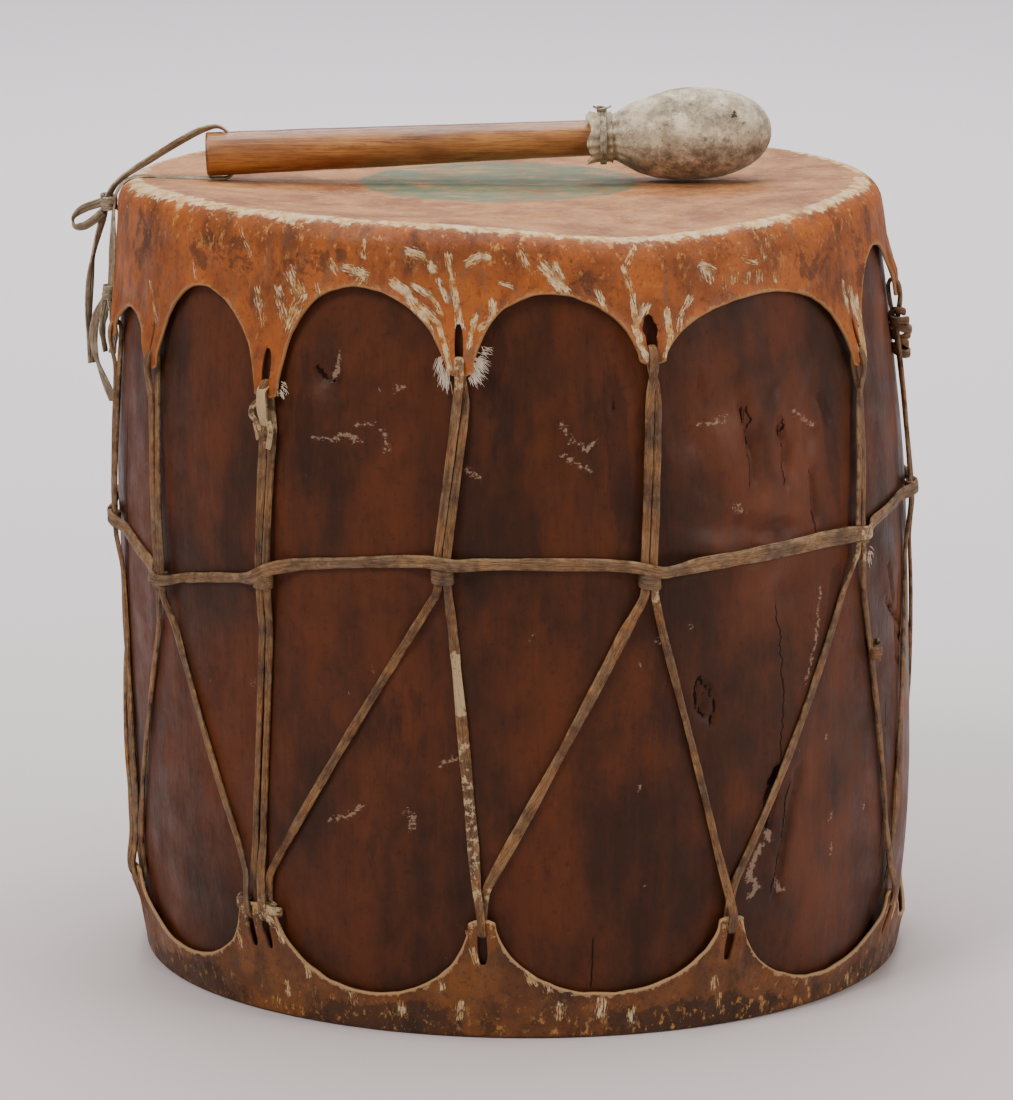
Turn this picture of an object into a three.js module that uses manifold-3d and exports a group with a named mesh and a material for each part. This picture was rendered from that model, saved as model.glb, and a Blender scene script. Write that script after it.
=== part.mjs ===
// A hide-covered log drum with its beater lying across the upper skin.
// Units are millimetres, +Z is up, -Y is the front, and the origin is the middle of the underside.
import * as THREE from "three";
import { ParametricGeometry } from "three/addons/geometries/ParametricGeometry.js";
import { mergeVertices, mergeGeometries } from "three/addons/utils/BufferGeometryUtils.js";
import Module from "manifold-3d";

const wasm = await Module();
wasm.setup();

// Driving sizes of the hollowed log
const DRUM_HEIGHT = 421;
const BELLY_RADIUS = 215.2;
const FOOT_DRAW = 11;
const SHOULDER_DRAW = 13;
const LOG_LEAN = 13;
const LOG_WAVE = 0.8;
const WALL_THICKNESS = 31.2;
const UPPER_EDGE_ROUND = 8;
const LOWER_EDGE_ROUND = 2.5;
const LOWER_SKIN_CORNER = 2;

// Shares of the drum's height between which the log keeps its belly, and how quickly it draws in beyond them
const FOOT_SHARE = 0.3;
const SHOULDER_SHARE = 0.6;
const FOOT_POWER = 2.2;
const SHOULDER_POWER = 1.4;
const LEAN_POWER = 1.6;

// Rawhide skins
const SKIN_THICKNESS = 2.5;
const SKIN_GAP = 0.9;
const SKIN_MID_SHARE = 0.62;
const TAB_LIFT = 2.8;
const BRIDGE_HEIGHT = 6;
const LIFT_RUN = 26;
const UPPER_TAB_DEPTH = 78;
const LOWER_TAB_DEPTH = 60;
const SLIT_LENGTH = 20;
const SLIT_CLEARANCE = 0.45;
const SLIT_TAPER = 0.75;
const TAB_SIDE = 4;

// Thongs
const LACE_WIDTH = 4.5;
const LACE_THICKNESS = 2.2;
const LACE_CLEARANCE = 0.3;
const LACE_APART = 0.7;
const TURN_RISE = 0.5;
const LACE_SLACK = 0.9;
const LACE_STRIDE = 80;
const LUMP_ALONG = 6.4;
const LUMP_OUT = 5.8;
const LUMP_UP = 12.5;
const LEAD_RUN = 16;
const KNOT_RUN = 8.5;
const WAIST_WIDTH = 6.5;
const WAIST_THICKNESS = 1.8;
const WAIST_RISE = 38;
const BAND_STEP = 7;
const WAIST_LEAD = 1.5;
const WRAP_HEIGHT = 9;
const WRAP_THICKNESS = 2.4;

// Beater
const STICK_TAIL_RADIUS = 12;
const STICK_NECK_RADIUS = 9.6;
const STICK_LENGTH = 206;
const STICK_SOCKET_DEPTH = 52;
const STICK_CLEARANCE = 0.3;
const TAIL_HOLE_WIDTH = 5.6;
const TAIL_HOLE_LENGTH = 12;
const TAIL_HOLE_INSET = 13;
const BULB_LENGTH = 86;
const BULB_RADIUS = 25.2;
const BULB_FULLNESS = 0.9;
const COLLAR_LENGTH = 13;
const COLLAR_RADIUS = 13.6;
const BINDING_RADIUS = 1.4;
const BEATER_X = -171;
const BEATER_Y = -2;
const REST_GAP = 0.3;

// The strap through the beater's tail
const STRAP_WIDTH = 4.6;
const STRAP_THICKNESS = 1.6;
const STRAP_SIDES = 8;
const STRAP_STEPS = 38;
const TIE_STEPS = 4;
const TIE_WIDTH = 3;
const TIE_THICKNESS = 1.5;

// Facets
const LOG_COLUMNS = 48;
const EDGE_STEPS = 2;
const ARCH_STEP_DEGREES = 6.2;
const LEAST_ARCH_STEPS = 4;
const SWEEP_DEGREES = 12;
const STICK_SIDES = 16;
const BULB_SIDES = 16;
const BULB_STEPS = 8;

const degrees = THREE.MathUtils.degToRad;

// Tabs with their depths in millimetres, from shares of the usual depth.
function deepened(depth, tabs) {
  return tabs.map((tab) => ({ ...tab, tip: tab.tip * depth, arch: tab.arch * depth }));
}

// The upper skin's tabs: bearing from the front, then the depths of the tip and of the arch after it,
// both as shares of the usual tab's depth
const UPPER_TABS = deepened(UPPER_TAB_DEPTH, [
  { bearing: -78, tip: 1, arch: 0.731 },
  { bearing: -60.3, tip: 1.08, arch: 0.474 },
  { bearing: -35.2, tip: 1.13, arch: 0.378 },
  { bearing: -6.2, tip: 0.897, arch: 0.372 },
  { bearing: 20.6, tip: 0.846, arch: 0.449 },
  { bearing: 59.5, tip: 1.06, arch: 0.333 },
  { bearing: 82, tip: 0.744, arch: 0.385 },
  { bearing: 115.3, tip: 0.923, arch: 0.397 },
  { bearing: 148.7, tip: 0.974, arch: 0.385 },
  { bearing: 182, tip: 0.897, arch: 0.41 },
  { bearing: 215.3, tip: 0.949, arch: 0.385 },
  { bearing: 248.7, tip: 0.974, arch: 0.462 },
]);

// The lower skin's tabs in the same way, and how many times the lace passes through each
const LOWER_TABS = deepened(LOWER_TAB_DEPTH, [
  { bearing: -76, tip: 0.9, arch: 0.35, visits: 2 },
  { bearing: -40, tip: 1.033, arch: 0.35, visits: 2 },
  { bearing: -5.6, tip: 1.1, arch: 0.4, visits: 1 },
  { bearing: 29.8, tip: 1.017, arch: 0.283, visits: 1 },
  { bearing: 66.7, tip: 0.8, arch: 0.333, visits: 1 },
  { bearing: 103.1, tip: 0.967, arch: 0.367, visits: 1 },
  { bearing: 139.3, tip: 1.033, arch: 0.333, visits: 1 },
  { bearing: 175.5, tip: 0.95, arch: 0.367, visits: 1 },
  { bearing: 211.7, tip: 1, arch: 0.35, visits: 1 },
  { bearing: 247.9, tip: 0.967, arch: 0.367, visits: 1 },
]);

// The waist knots under the upper tabs: bearing, height above the drum's middle as a share of the usual,
// and how far above the wrap the band arrives and leaves, as shares of the most
const WAIST_KNOTS = [
  { bearing: -78, rise: 0.895, arrive: 0, leave: 0 },
  { bearing: -58.8, rise: 0.368, arrive: 0, leave: 0 },
  { bearing: -36.4, rise: 0.711, arrive: 0, leave: 1 },
  { bearing: -9.5, rise: 1, arrive: 1, leave: 0.714 },
  { bearing: 18.4, rise: 0.895, arrive: 1, leave: 0.429 },
  { bearing: 56.2, rise: 1.053, arrive: 0.286, leave: 0 },
  { bearing: 79, rise: 1.316, arrive: 0, leave: 0 },
  { bearing: 113.5, rise: 1.105, arrive: 0, leave: 0.571 },
  { bearing: 150.5, rise: 0.789, arrive: 0.429, leave: 0 },
  { bearing: 183, rise: 0.947, arrive: 0, leave: 0.429 },
  { bearing: 214, rise: 1.158, arrive: 0, leave: 0 },
  { bearing: 250, rise: 1, arrive: 0.429, leave: 0 },
];

// Lumps in the lace: how far down from an upper tab to its knot, or from a knot to a lower tab,
// and half sizes along, out and up as shares of the largest
const LACE_LUMPS = [
  { upper: 2, knot: 2, share: 0.13, along: 0.85, out: 0.7, up: 0.8 },
  { upper: 6, knot: 6, share: 0.14, along: 1, out: 0.95, up: 1 },
  { knot: 5, lower: 4, share: 0.34, along: 0.6, out: 0.6, up: 0.7 },
];

// The wrist strap's route: from its free end up through the tail's hole, over the rim and down the side
const STRAP_ROUTE = [
  [-234, -7.2, 322],
  [-234.6, -7, 331],
  [-235.4, -6.6, 341],
  [-235.4, -6, 352],
  [-234.4, -5, 368],
  [-232.6, -4, 381],
  [-229.8, -2.5, 392],
  [-227.2, -1.5, 401],
  [-225.4, -1, 409],
  [-222, -1, 416.5],
  [-217, -1, 422],
  [-208.5, -1, 427.8],
  [-198, -1, 434.4],
  [-186, -1.5, 441.8],
  [-173, -2, 448.6],
  [-164.5, -2, 450.2],
  [-159.4, -2, 446.8],
  [-156.8, -2, 440],
  [-156, -2, 430],
  [-156.6, -2, 425.4],
  [-159.4, -2, 422.7],
  [-164, -2, 422.2],
  [-180, -2, 422.3],
  [-195, -2, 422.6],
  [-206, -2.5, 423.4],
  [-214.8, -3.8, 421],
  [-219.4, -5.5, 415],
  [-220.9, -8.5, 407.5],
  [-221.1, -14, 397.5],
  [-221.1, -18, 386],
  [-221.8, -20, 373],
  [-223, -21, 364],
  [-226.4, -20.6, 357.5],
  [-230.2, -19, 350],
  [-232.2, -17, 340],
  [-231.6, -14.5, 328],
  [-228.6, -12, 318],
  [-225.2, -9, 308],
  [-223, -6, 301],
].map((p) => new THREE.Vector3(...p));

// The bow at the first knot, out and back
const BOW_ROUTE = [
  [-227, -4, 409.6],
  [-231, -4.5, 408.4],
  [-236.4, -5, 406.6],
  [-240.4, -5.4, 404.2],
  [-243.2, -5.6, 400.6],
  [-242.2, -5.6, 396.6],
  [-237.6, -5.4, 396.6],
  [-232.4, -5, 399.6],
  [-227, -4, 404],
].map((p) => new THREE.Vector3(...p));

// The two tails below the second knot
const TAIL_ROUTES = [
  [
    [-224, -22, 361],
    [-226, -23, 351],
    [-227, -23.5, 343],
    [-225.4, -24, 331],
  ],
  [
    [-222.4, -23.4, 361],
    [-221, -26, 351],
    [-220.2, -28, 341],
    [-221.4, -29, 331],
  ],
].map((route) => route.map((p) => new THREE.Vector3(...p)));

// The two knots in the wrist strap: middle, and half sizes
const BOW_KNOT = { at: [-224.9, -4.2, 409.6], half: [4.9, 7, 6] };
const TAIL_KNOT = { at: [-223.4, -21.4, 363], half: [4.2, 4.6, 5.4] };

// The log's own form

function logRadius(z) {
  const share = THREE.MathUtils.clamp(z / DRUM_HEIGHT, 0, 1);
  const foot = Math.max(0, 1 - share / FOOT_SHARE);
  const shoulder = Math.max(0, (share - SHOULDER_SHARE) / (1 - SHOULDER_SHARE));
  return BELLY_RADIUS - FOOT_DRAW * foot ** FOOT_POWER - SHOULDER_DRAW * shoulder ** SHOULDER_POWER;
}

function logWave(bearing, z) {
  const drift = z / DRUM_HEIGHT;
  return LOG_WAVE * (Math.sin(2 * bearing + 0.9) + 0.6 * Math.sin(3 * bearing - drift));
}

function logLean(z) {
  return -LOG_LEAN * THREE.MathUtils.clamp(z / DRUM_HEIGHT, 0, 1) ** LEAN_POWER;
}

// A point a given way out from the log's skin of wood, moved along the circle by an offset.
function besideLog(bearing, z, out, along = 0) {
  const radius = logRadius(z) + logWave(bearing, z) + out;
  const turned = bearing + along / radius;
  return new THREE.Vector3(logLean(z) + radius * Math.sin(turned), -radius * Math.cos(turned), z);
}

function atRadius(bearing, z, radius) {
  return new THREE.Vector3(logLean(z) + radius * Math.sin(bearing), -radius * Math.cos(bearing), z);
}

// Solids

function toSolid(geometry) {
  const bare = geometry.clone();
  bare.deleteAttribute("normal");
  bare.deleteAttribute("uv");
  const merged = mergeVertices(bare, 1e-3);
  const corners = merged.index.array;
  const kept = [];
  for (let i = 0; i < corners.length; i += 3) {
    const [a, b, c] = [corners[i], corners[i + 1], corners[i + 2]];
    if (a !== b && b !== c && a !== c) kept.push(a, b, c);
  }
  const solid = new wasm.Manifold(
    new wasm.Mesh({
      numProp: 3,
      vertProperties: new Float32Array(merged.attributes.position.array),
      triVerts: new Uint32Array(kept),
    }),
  );
  if (solid.volume() >= 0) return solid;
  const turned = [];
  for (let i = 0; i < kept.length; i += 3) turned.push(kept[i], kept[i + 2], kept[i + 1]);
  return new wasm.Manifold(
    new wasm.Mesh({
      numProp: 3,
      vertProperties: new Float32Array(merged.attributes.position.array),
      triVerts: new Uint32Array(turned),
    }),
  );
}

function toGeometry(solid) {
  const mesh = solid.getMesh();
  const geometry = new THREE.BufferGeometry();
  const places = new Float32Array((mesh.vertProperties.length / mesh.numProp) * 3);
  for (let i = 0; i < places.length / 3; i++)
    for (let k = 0; k < 3; k++) places[3 * i + k] = mesh.vertProperties[mesh.numProp * i + k];
  geometry.setAttribute("position", new THREE.BufferAttribute(places, 3));
  geometry.setIndex(new THREE.BufferAttribute(new Uint32Array(mesh.triVerts), 1));
  geometry.computeVertexNormals();
  return geometry;
}

// A closed surface from rings of points: each ring joins the next, and its own end joins its start.
function ringSurface(rings, closedLoop) {
  const rows = closedLoop ? [...rings, rings[0]] : rings;
  const sides = rows[0].length;
  const place = (u, v, target) => {
    const row = Math.round(v * (rows.length - 1));
    const side = Math.round(u * sides) % sides;
    target.copy(rows[row][side]);
  };
  return new ParametricGeometry(place, sides, rows.length - 1);
}

// A flat strap through stations {at, across}, of rectangular section. It closes on itself, or has square ends.
function strap(stations, width, thickness, closedLoop) {
  const count = stations.length;
  const rings = stations.map(({ at, across }, i) => {
    const before = stations[closedLoop ? (i + count - 1) % count : Math.max(i - 1, 0)].at;
    const after = stations[closedLoop ? (i + 1) % count : Math.min(i + 1, count - 1)].at;
    const back = at.clone().sub(before).normalize();
    const ahead = after.clone().sub(at).normalize();
    const along = back.add(ahead).normalize();
    const wide = across.clone().addScaledVector(along, -across.dot(along)).normalize();
    const thick = new THREE.Vector3().crossVectors(along, wide);
    return [
      [1, 1],
      [-1, 1],
      [-1, -1],
      [1, -1],
    ].map(([a, b]) =>
      at
        .clone()
        .addScaledVector(wide, (a * width) / 2)
        .addScaledVector(thick, (b * thickness) / 2),
    );
  });
  if (closedLoop) return ringSurface(rings, true);
  const middle = (ring) => {
    const centre = new THREE.Vector3();
    ring.forEach((p) => centre.addScaledVector(p, 1 / ring.length));
    return ring.map(() => centre.clone());
  };
  return ringSurface([middle(rings[0]), ...rings, middle(rings.at(-1))], false);
}

// A form drawn along the circle, outwards and up, bent to follow the log beside it.
function bentToLog(geometry, bearing, z, out) {
  const bent = geometry.clone();
  const places = bent.attributes.position;
  for (let i = 0; i < places.count; i++) {
    const at = besideLog(bearing, z + places.getZ(i), out + places.getY(i), places.getX(i));
    places.setXYZ(i, at.x, at.y, at.z);
  }
  return bent;
}

// A small block in a place's own frame: x along the circle, y outwards, z up.
function placed(geometry, centre, bearing) {
  const frame = new THREE.Matrix4().makeRotationZ(bearing + Math.PI);
  return geometry.clone().applyMatrix4(frame.setPosition(centre));
}

// The hollowed log

function makeLog() {
  const inset = SKIN_THICKNESS + SKIN_GAP;
  const low = inset;
  const high = DRUM_HEIGHT - inset;
  const rows = [];
  const sideSteps = 4;
  rows.push({ z: low, in: LOWER_EDGE_ROUND });
  for (let i = 0; i < sideSteps; i++) {
    const share = i / sideSteps;
    rows.push({ z: THREE.MathUtils.lerp(low + LOWER_EDGE_ROUND, high - UPPER_EDGE_ROUND, share), in: 0 });
  }
  for (let i = 0; i <= EDGE_STEPS; i++) {
    const turn = (Math.PI / 2) * (i / EDGE_STEPS);
    const round = UPPER_EDGE_ROUND;
    rows.push({ z: high - round * (1 - Math.sin(turn)), in: round * (1 - Math.cos(turn)) });
  }
  const ring = (place) =>
    Array.from({ length: LOG_COLUMNS }, (_, i) => place((i / LOG_COLUMNS) * 2 * Math.PI));
  const outside = rows.map((row) => ring((bearing) => besideLog(bearing, row.z, -row.in)));
  const inside = [high, low].map((z) => ring((bearing) => atRadius(bearing, z, BELLY_RADIUS - WALL_THICKNESS)));
  return toGeometry(toSolid(ringSurface([...outside, ...inside], true)));
}

// Rawhide skins: end is 1 for the upper one and -1 for the lower one

function depthToHeight(depth, end) {
  return end > 0 ? DRUM_HEIGHT - depth : depth;
}

const tabSlits = (tab) => tab.visits ?? 1;
const slitWidth = LACE_WIDTH + 2 * SLIT_CLEARANCE;
const slitPitch = 2 * (LACE_WIDTH + LACE_APART);
const tipHalfWidth = (tab) => (slitWidth + (tabSlits(tab) - 1) * slitPitch) / 2 + TAB_SIDE;

// How far across from a tab's middle each slit lies.
function slitOffsets(tab) {
  return tabSlits(tab) === 1 ? [0] : [-slitPitch / 2, slitPitch / 2];
}

// The columns of a skin: bearing, the depth of its scalloped edge, and the depth of the tips on either side.
function skinColumns(tabs) {
  const columns = [];
  tabs.forEach((tab, k) => {
    const next = tabs[(k + 1) % tabs.length];
    const radius = BELLY_RADIUS;
    const from = degrees(tab.bearing) + tipHalfWidth(tab) / radius;
    let to = degrees(next.bearing) - tipHalfWidth(next) / radius;
    if (to < from) to += 2 * Math.PI;
    const steps = Math.max(LEAST_ARCH_STEPS, Math.round((to - from) / degrees(ARCH_STEP_DEGREES)));
    for (let i = 0; i <= steps; i++) {
      const across = -Math.cos((Math.PI * i) / steps);
      const share = (across + 1) / 2;
      const tipLine = THREE.MathUtils.lerp(tab.tip, next.tip, share);
      const edge = tipLine - (tipLine - tab.arch) * Math.sqrt(Math.max(0, 1 - across * across));
      columns.push({ bearing: THREE.MathUtils.lerp(from, to, share), edge, tipLine });
    }
  });
  return columns;
}

// How far a skin stands off the log at a depth: it lifts where the lace passes behind the tips.
function skinLift(tipLine, depth) {
  const above = Math.max(0, tipLine - depth - BRIDGE_HEIGHT);
  const share = Math.min(1, above / (LIFT_RUN - BRIDGE_HEIGHT));
  return TAB_LIFT * (1 - share * share * (3 - 2 * share));
}

function makeSkin(tabs, end) {
  const columns = skinColumns(tabs);
  const outer = SKIN_GAP + SKIN_THICKNESS;
  const inner = SKIN_GAP;
  const edge = end > 0 ? UPPER_EDGE_ROUND : LOWER_EDGE_ROUND;
  const corner = end > 0 ? edge + outer : LOWER_SKIN_CORNER;
  const turnDepth = outer + edge;
  // The bend over the log's end: outside its own corner, inside the log's rounded edge.
  const bend = (column, turn, offset) => {
    const round = offset === outer ? corner : edge + offset;
    const depth = offset === outer ? corner * (1 - Math.cos(turn)) : turnDepth - round * Math.cos(turn);
    return besideLog(column.bearing, depthToHeight(depth, end), offset - round * (1 - Math.sin(turn)));
  };
  const side = (column, share, offset) => {
    const depth = THREE.MathUtils.lerp(turnDepth, column.edge, share);
    return besideLog(column.bearing, depthToHeight(depth, end), offset + skinLift(column.tipLine, depth));
  };
  const middle = (depth) => () => new THREE.Vector3(logLean(depthToHeight(depth, end)), 0, depthToHeight(depth, end));
  const rows = [
    middle(0),
    (c) => bend(c, 0, outer),
    (c) => bend(c, degrees(40), outer),
    (c) => bend(c, degrees(90), outer),
    (c) => side(c, SKIN_MID_SHARE, outer),
    (c) => side(c, 1, outer),
    (c) => side(c, 1, inner),
    (c) => side(c, SKIN_MID_SHARE, inner),
    (c) => bend(c, degrees(90), inner),
    (c) => bend(c, degrees(45), inner),
    (c) => bend(c, 0, inner),
    middle(SKIN_THICKNESS),
  ];
  let skin = toSolid(ringSurface(rows.map((row) => columns.map(row)), false));
  const cutDepth = 4 * (SKIN_THICKNESS + TAB_LIFT);
  tabs.forEach((tab) => {
    const bearing = degrees(tab.bearing);
    slitOffsets(tab).forEach((offset) => {
      const outline = new THREE.Shape();
      const half = slitWidth / 2;
      outline.moveTo(-half, 0);
      outline.lineTo(half, 0);
      outline.lineTo(half * SLIT_TAPER, SLIT_LENGTH);
      outline.lineTo(-half * SLIT_TAPER, SLIT_LENGTH);
      outline.closePath();
      const cutter = new THREE.ExtrudeGeometry(outline, { depth: cutDepth, bevelEnabled: false });
      cutter.translate(0, 0, -cutDepth / 2).rotateX(Math.PI / 2);
      if (end < 0) cutter.rotateY(Math.PI);
      const height = depthToHeight(tab.tip - BRIDGE_HEIGHT, end);
      const at = besideLog(bearing, height, outer, offset);
      skin = skin.subtract(toSolid(placed(cutter, at, bearing + offset / BELLY_RADIUS)));
    });
  });
  return toGeometry(skin);
}

// The lace: one thong through every tab, up and down round the whole drum

const laceBehind = LACE_CLEARANCE + LACE_THICKNESS / 2;
const laceInFront = SKIN_GAP + TAB_LIFT + SKIN_THICKNESS + LACE_CLEARANCE + LACE_THICKNESS / 2;
const laceAtKnot = 2 * LACE_CLEARANCE + WRAP_THICKNESS + LACE_THICKNESS / 2 + 0.4;
const lacePair = (LACE_WIDTH + LACE_APART) / 2;

function station(bearing, z, out, along) {
  const at = besideLog(bearing, z, out, along);
  return { at, across: new THREE.Vector3(Math.cos(bearing), Math.sin(bearing), 0) };
}

// The lace's turn round the bar of skin below a slit, from its front leg over to its back leg.
function laceTurn(tab, offset, end) {
  const bearing = degrees(tab.bearing);
  const barTop = tab.tip - BRIDGE_HEIGHT;
  const centre = (laceInFront + laceBehind) / 2;
  const round = (laceInFront - laceBehind) / 2;
  const place = (out, depth, along) => station(bearing, depthToHeight(depth, end), out, along);
  const turns = [35, 145].map((angle) =>
    place(centre + round * Math.cos(degrees(angle)), barTop - TURN_RISE - round * Math.sin(degrees(angle)), offset),
  );
  const settled = (laceInFront + laceBehind) / 2;
  const leadDepth = tab.tip + LEAD_RUN;
  return [
    place(settled, leadDepth, offset - lacePair),
    place(laceInFront, tab.tip, offset),
    ...turns,
    place(laceBehind, tab.tip, offset),
    place(laceBehind + LACE_THICKNESS, leadDepth, offset + lacePair),
  ];
}

// Stations between two places beside the log, close enough together to lie along it.
function between(from, to) {
  const turn = Math.abs(to.bearing - from.bearing);
  const strides = Math.round(Math.abs(to.z - from.z) / LACE_STRIDE);
  const steps = Math.max(1, strides, Math.ceil(turn / degrees(SWEEP_DEGREES)));
  const made = [];
  for (let i = 1; i < steps; i++) {
    const share = i / steps;
    const mix = (key) => THREE.MathUtils.lerp(from[key], to[key], share);
    made.push(station(mix("bearing"), mix("z"), laceBehind + LACE_SLACK, 0));
  }
  return made;
}

function asPlace({ at }) {
  const z = at.z;
  const x = at.x - logLean(z);
  const bearing = Math.atan2(x, -at.y);
  return { bearing, z, out: Math.hypot(x, at.y) - logRadius(z) - logWave(bearing, z) };
}

function knotPlace(knot) {
  return { bearing: degrees(knot.bearing), z: DRUM_HEIGHT / 2 + WAIST_RISE * knot.rise };
}

// The visits to the lower tabs, in order: the lace goes from upper tab k to visit k + 1, and on to tab k + 1.
function lowerVisits() {
  return LOWER_TABS.flatMap((tab) => slitOffsets(tab).map((offset) => ({ tab, offset })));
}

function unwrap(value, near) {
  let turned = value;
  while (turned - near > Math.PI) turned -= 2 * Math.PI;
  while (turned - near < -Math.PI) turned += 2 * Math.PI;
  return turned;
}

// A lump lies on the strand from one end's place to the other's.
function lumpPlace({ upper, knot, lower, share }) {
  const tied = knotPlace(WAIST_KNOTS[knot]);
  const tab = upper === undefined ? LOWER_TABS[lower] : UPPER_TABS[upper];
  const tip = { bearing: degrees(tab.bearing), z: depthToHeight(tab.tip, upper === undefined ? -1 : 1) };
  const [from, to] = upper === undefined ? [tied, tip] : [tip, tied];
  const mix = (key) => THREE.MathUtils.lerp(from[key], to[key], share);
  return { bearing: mix("bearing"), z: mix("z") };
}

function makeLace() {
  const visits = lowerVisits();
  const stations = [];
  const legs = (knot, sign) =>
    [KNOT_RUN, -KNOT_RUN].map((rise) => {
      const { bearing, z } = knotPlace(knot);
      return station(bearing, z + rise, laceAtKnot, sign * lacePair);
    });
  const joinAll = (list) => {
    list.forEach((next, i) => {
      if (i > 0) {
        const from = asPlace(list[i - 1]);
        const to = asPlace(next);
        to.bearing = unwrap(to.bearing, from.bearing);
        stations.push(...between(from, to));
      }
      stations.push(next);
    });
  };
  UPPER_TABS.forEach((tab, k) => {
    const arrive = legs(WAIST_KNOTS[k], -1).reverse();
    const leave = legs(WAIST_KNOTS[k], 1);
    const visit = visits[(k + 1) % visits.length];
    const turn = laceTurn(tab, 0, 1);
    const lowerTurn = laceTurn(visit.tab, visit.offset, -1);
    const nextKnot = WAIST_KNOTS[(k + 1) % WAIST_KNOTS.length];
    const nextLow = legs(nextKnot, -1).at(-1);
    joinAll([...arrive, ...turn, ...leave, ...lowerTurn]);
    const from = asPlace(lowerTurn.at(-1));
    const to = asPlace(nextLow);
    to.bearing = unwrap(to.bearing, from.bearing);
    stations.push(...between(from, to));
  });
  let lace = toSolid(strap(stations, LACE_WIDTH, LACE_THICKNESS, true));
  LACE_LUMPS.forEach((lump) => {
    const ball = new THREE.OctahedronGeometry(1, 1);
    ball.scale(LUMP_ALONG * lump.along, LUMP_OUT * lump.out, LUMP_UP * lump.up);
    const { bearing, z } = lumpPlace(lump);
    lace = lace.add(toSolid(bentToLog(ball, bearing, z, laceBehind + LUMP_OUT * lump.out)));
  });
  return toGeometry(lace);
}

// The waist thong: one band in front of the laces, with a wrap round each pair

function makeWaist() {
  const inFront = laceAtKnot + LACE_THICKNESS / 2 + LACE_CLEARANCE + WRAP_THICKNESS / 2;
  const onLog = LACE_CLEARANCE + WAIST_THICKNESS / 2 + 1;
  const up = new THREE.Vector3(0, 0, 1);
  const places = [];
  const hold = lacePair + LACE_WIDTH / 2 + LACE_CLEARANCE + WRAP_THICKNESS + WAIST_LEAD;
  WAIST_KNOTS.forEach((knot, k) => {
    const here = knotPlace(knot);
    const next = WAIST_KNOTS[(k + 1) % WAIST_KNOTS.length];
    const there = knotPlace(next);
    there.bearing = unwrap(there.bearing, here.bearing);
    const edge = hold / BELLY_RADIUS;
    places.push({ bearing: here.bearing - edge, z: here.z + BAND_STEP * knot.arrive, out: inFront });
    places.push({ bearing: here.bearing + edge, z: here.z + BAND_STEP * knot.leave, out: inFront });
    const span = there.bearing - here.bearing;
    const steps = Math.max(3, Math.ceil(span / degrees(SWEEP_DEGREES)));
    for (let i = 1; i < steps; i++) {
      const share = i / steps;
      const z = THREE.MathUtils.lerp(here.z + BAND_STEP * knot.leave, there.z + BAND_STEP * next.arrive, share);
      places.push({ bearing: here.bearing + span * share, z, out: onLog });
    }
  });
  const stations = places.map(({ bearing, z, out }) => ({ at: besideLog(bearing, z, out), across: up }));
  let waist = toSolid(strap(stations, WAIST_WIDTH, WAIST_THICKNESS, true));
  const innerWide = 2 * lacePair + LACE_WIDTH + 2 * LACE_CLEARANCE;
  const innerDeep = LACE_THICKNESS + 2 * LACE_CLEARANCE;
  WAIST_KNOTS.forEach((knot) => {
    const { bearing, z } = knotPlace(knot);
    const outline = new THREE.Shape();
    const wide = innerWide / 2 + WRAP_THICKNESS;
    const deep = innerDeep / 2 + WRAP_THICKNESS;
    outline.moveTo(-wide, -deep).lineTo(wide, -deep).lineTo(wide, deep).lineTo(-wide, deep).closePath();
    const hole = new THREE.Path();
    const [w, d] = [innerWide / 2, innerDeep / 2];
    hole.moveTo(-w, -d).lineTo(-w, d).lineTo(w, d).lineTo(w, -d).closePath();
    outline.holes.push(hole);
    const ring = new THREE.ExtrudeGeometry(outline, { depth: WRAP_HEIGHT, bevelEnabled: false });
    ring.translate(0, 0, -WRAP_HEIGHT / 2);
    waist = waist.add(toSolid(bentToLog(ring, bearing, z, laceAtKnot)));
  });
  return toGeometry(waist);
}

// The beater, along +X from its tail, laid on the upper skin in a group of its own

function alongX(profile, sides) {
  return new THREE.LatheGeometry(profile, sides).rotateZ(-Math.PI / 2);
}

const strapRoom = STRAP_THICKNESS + 2 * REST_GAP;
const tailHeight = STICK_TAIL_RADIUS + strapRoom;
const bulbMiddle = STICK_LENGTH + COLLAR_LENGTH + BULB_LENGTH * 0.5;
const beaterTilt = Math.asin((BULB_RADIUS + REST_GAP - tailHeight) / bulbMiddle);

function stickRadius(share) {
  return THREE.MathUtils.lerp(STICK_TAIL_RADIUS, STICK_NECK_RADIUS, share);
}

function makeStick() {
  const bevel = 1;
  const end = STICK_LENGTH + STICK_SOCKET_DEPTH;
  const neckEnd = STICK_NECK_RADIUS;
  const profile = [
    new THREE.Vector2(0, 0),
    new THREE.Vector2(STICK_TAIL_RADIUS - bevel, 0),
    new THREE.Vector2(STICK_TAIL_RADIUS, bevel),
    new THREE.Vector2(stickRadius(0.5), STICK_LENGTH * 0.5),
    new THREE.Vector2(neckEnd, STICK_LENGTH),
    new THREE.Vector2(neckEnd, end),
    new THREE.Vector2(0, end),
  ];
  const stick = toSolid(alongX(profile, STICK_SIDES));
  const slot = new THREE.Shape();
  const half = TAIL_HOLE_WIDTH / 2;
  const run = TAIL_HOLE_LENGTH / 2 - half;
  slot.absarc(run, 0, half, -Math.PI / 2, Math.PI / 2, false);
  slot.absarc(-run, 0, half, Math.PI / 2, (3 * Math.PI) / 2, false);
  const depth = 4 * STICK_TAIL_RADIUS;
  const cutter = new THREE.ExtrudeGeometry(slot, { depth, bevelEnabled: false, curveSegments: 4 });
  cutter.translate(TAIL_HOLE_INSET, 0, -depth / 2);
  return toGeometry(stick.subtract(toSolid(cutter)));
}

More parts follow.
